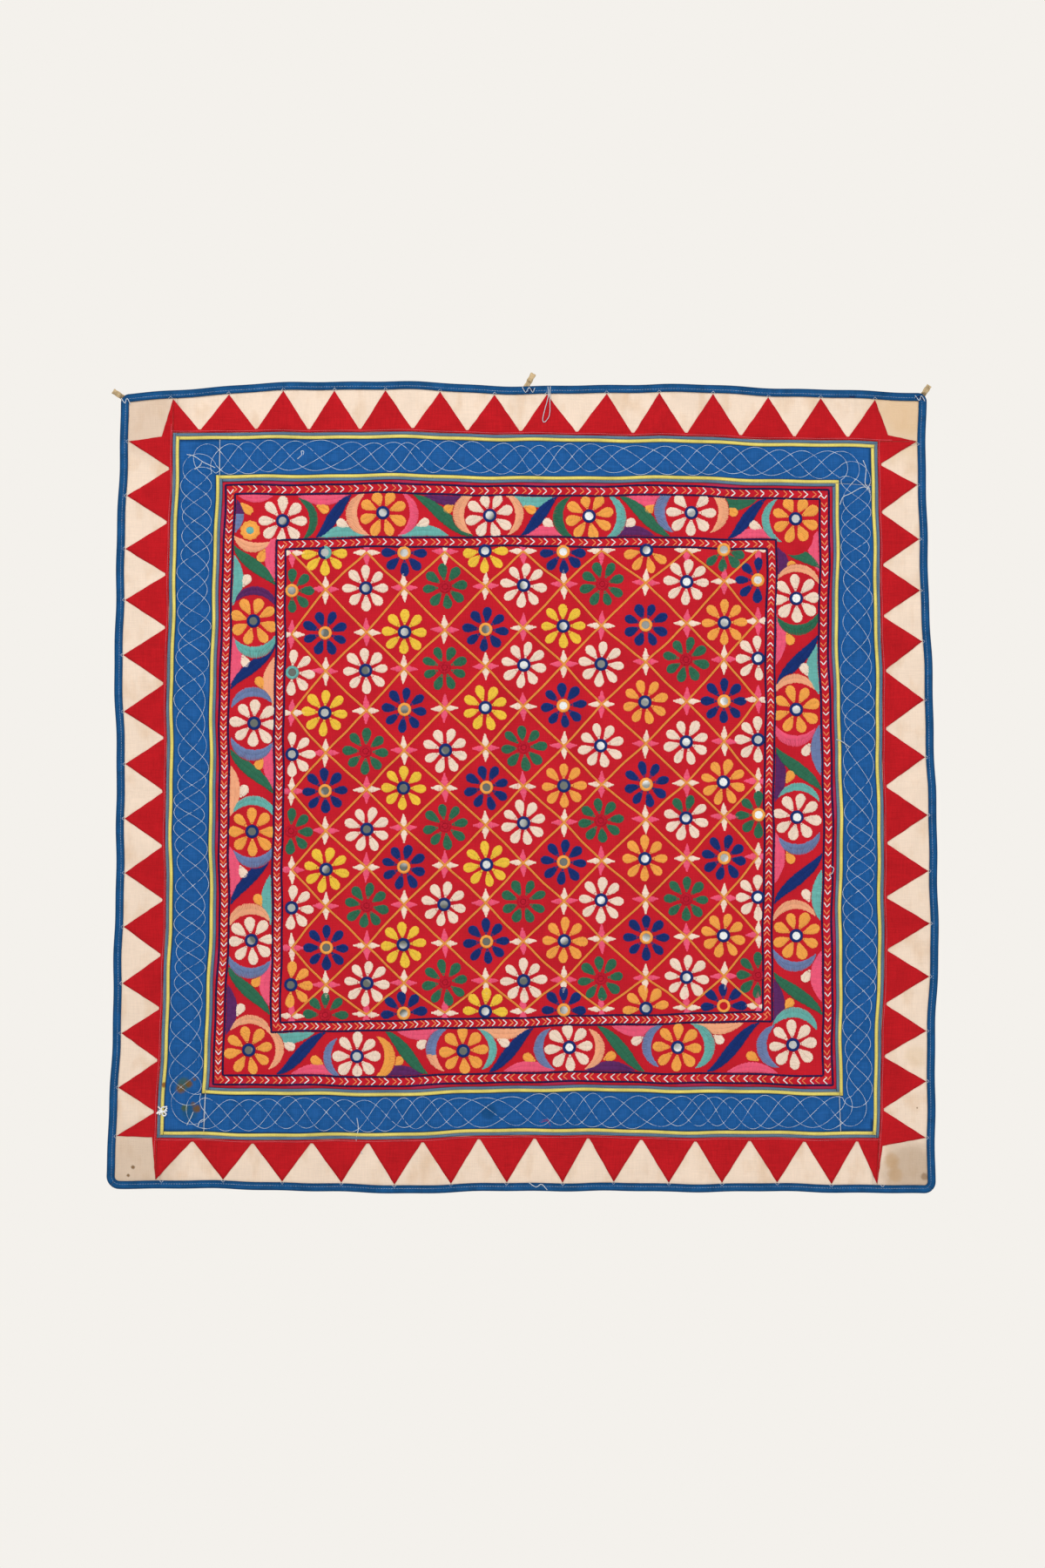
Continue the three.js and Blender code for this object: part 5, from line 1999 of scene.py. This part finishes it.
class HANGING_OT_loose_threads(Operator):
    """Lay the threads that have worked loose"""

    bl_idname = "hanging.loose_threads"
    bl_label = "Loose threads"

    def execute(self, context):
        dyed = {}
        for dye, lift, course in LOOSE_THREADS:
            dyed.setdefault(dye, []).append(lifted(drawn(course), lift))
        unlike = {"red": {"width": 0.8, "height": 0.4}, "bright": {"width": 2.3, "height": 1.3}}
        sizes = {"pitch": 1.7, "width": 1.2, "height": 0.8, "cover": 1.6}
        lay_dyed("loose_threads", dyed, lay_rows, "band", 101, unlike, **sizes)
        return {"FINISHED"}


WORLD_LIGHT = 0.54
FRAME_HEIGHT = 2.304  # metres of the hanging plane that the upright frame takes in
SENSOR = 36.0  # millimetres
TARGET = (-0.0059, 0.0, -0.5843)
FLOOR_LEVEL = -1950.0
FLOOR_PLAN = ((-4000, -4000), (4000, -4000), (4000, 700), (-4000, 700))
LAMPS = (
    {"name": "key", "place": (-1.5, -2.6, 2.5), "size": 1.6, "watts": 80.0},
    {"name": "fill", "place": (2.8, -3.2, 0.5), "size": 2.4, "watts": 38.0},
    {"name": "back", "place": (0.5, 3.0, 1.0), "size": 2.4, "watts": 60.0},
)


def seen_rays(tree, share):
    """share for rays from the camera or off a gloss, and 0 for the light that falls on things."""
    path = add(tree, "ShaderNodeLightPath").outputs
    seen = {0: path["Is Camera Ray"], 1: path["Is Glossy Ray"]}
    seen = add(tree, "ShaderNodeMath", seen, operation="MAXIMUM")
    seen = {0: seen, 1: path["Is Transmission Ray"]}
    seen = add(tree, "ShaderNodeMath", seen, operation="MAXIMUM")
    return add(tree, "ShaderNodeMath", {0: seen, 1: share}, operation="MULTIPLY")


def glowing(tree, kind, pale, hidden, share, output):
    """Shows a pale glow to the eye, and another shader to the light that falls on things."""
    glow = add(tree, kind, {"Color": pale, "Strength": 1.0})
    mixed = add(tree, "ShaderNodeMixShader", {0: seen_rays(tree, share), 1: hidden, 2: glow})
    add(tree, output, {"Surface": mixed})


class HANGING_OT_stage(Operator):
    """Set the floor, the lamps, the world and the camera"""

    bl_idname = "hanging.stage"
    bl_label = "Stage"

    def execute(self, context):
        scene = context.scene
        pale = linear("#F4F1EC")
        scene.view_settings.view_transform = "Standard"
        world = bpy.data.worlds.new("studio")
        scene.world = world
        world.use_nodes = True
        tree = world.node_tree
        tree.nodes.clear()
        soft = add(tree, "ShaderNodeBackground", {"Color": (1, 1, 1, 1), "Strength": WORLD_LIGHT})
        glowing(tree, "ShaderNodeBackground", pale, soft, 1.0, "ShaderNodeOutputWorld")
        points = [(x, y, FLOOR_LEVEL) for x, y in FLOOR_PLAN]
        floor = make_object("floor", points, [(0, 1, 2, 3)])
        material, tree = new_material("pale floor")
        matt = add(tree, "ShaderNodeBsdfDiffuse", {"Color": pale})
        glowing(tree, "ShaderNodeEmission", pale, matt, 0.8, "ShaderNodeOutputMaterial")
        floor.data.materials.append(material)
        for lamp in LAMPS:
            light = bpy.data.lights.new(lamp["name"], "AREA")
            light.energy = lamp["watts"]
            light.size = lamp["size"]
            made = linked(lamp["name"], light)
            made.location = lamp["place"]
            aim = np.array(TARGET) - np.array(lamp["place"])
            made.rotation_euler = Vector(aim).to_track_quat("-Z", "Y").to_euler()
        camera = linked("camera", bpy.data.cameras.new("camera"))
        distance = scene.hanging_sizes.view_distance
        camera.data.lens = distance / FRAME_HEIGHT * SENSOR
        camera.location = (TARGET[0], -distance, TARGET[2])
        camera.rotation_euler = (math.pi / 2, 0, 0)
        camera.data.clip_end = 100.0
        scene.camera = camera
        return {"FINISHED"}


class HANGING_PT_panel(Panel):
    """Sizes, colours and builders of the hanging"""

    bl_label = "Embroidered hanging"
    bl_idname = "HANGING_PT_panel"
    bl_space_type = "VIEW_3D"
    bl_region_type = "UI"
    bl_category = "Hanging"

    def draw(self, context):
        for group in (context.scene.hanging_sizes, context.scene.hanging_colours):
            box = self.layout.box()
            for name in group.__annotations__:
                box.prop(group, name)
        for builder in BUILDERS:
            self.layout.operator(builder.bl_idname)


BUILDERS = (
    HANGING_OT_stage,
    HANGING_OT_pipings,
    HANGING_OT_loops,
    HANGING_OT_centre_panel,
    HANGING_OT_blue_band,
    HANGING_OT_cream_border,
    HANGING_OT_red_teeth,
    HANGING_OT_binding,
    HANGING_OT_flowers,
    HANGING_OT_mirrors,
    HANGING_OT_lattice,
    HANGING_OT_scroll_border,
    HANGING_OT_chain_borders,
    HANGING_OT_quilting,
    HANGING_OT_seam_stitches,
    HANGING_OT_loose_threads,
)
CLASSES = (HangingSizes, HangingColours, *BUILDERS, HANGING_PT_panel)


def register():
    for cls in CLASSES:
        bpy.utils.register_class(cls)
    bpy.types.Scene.hanging_sizes = bpy.props.PointerProperty(type=HangingSizes)
    bpy.types.Scene.hanging_colours = bpy.props.PointerProperty(type=HangingColours)


def unregister():
    del bpy.types.Scene.hanging_sizes
    del bpy.types.Scene.hanging_colours
    for cls in reversed(CLASSES):
        bpy.utils.unregister_class(cls)


def main():
    register()
    TREES["stitch"] = stitch_template()
    TREES["thread"] = make_thread_tree()
    TREES["row"] = make_row_tree(TREES["thread"])
    for builder in BUILDERS:
        getattr(bpy.ops.hanging, builder.bl_idname.partition(".")[2])()
    bpy.data.objects.remove(TREES["stitch"])


if __name__ == "__main__":
    main()
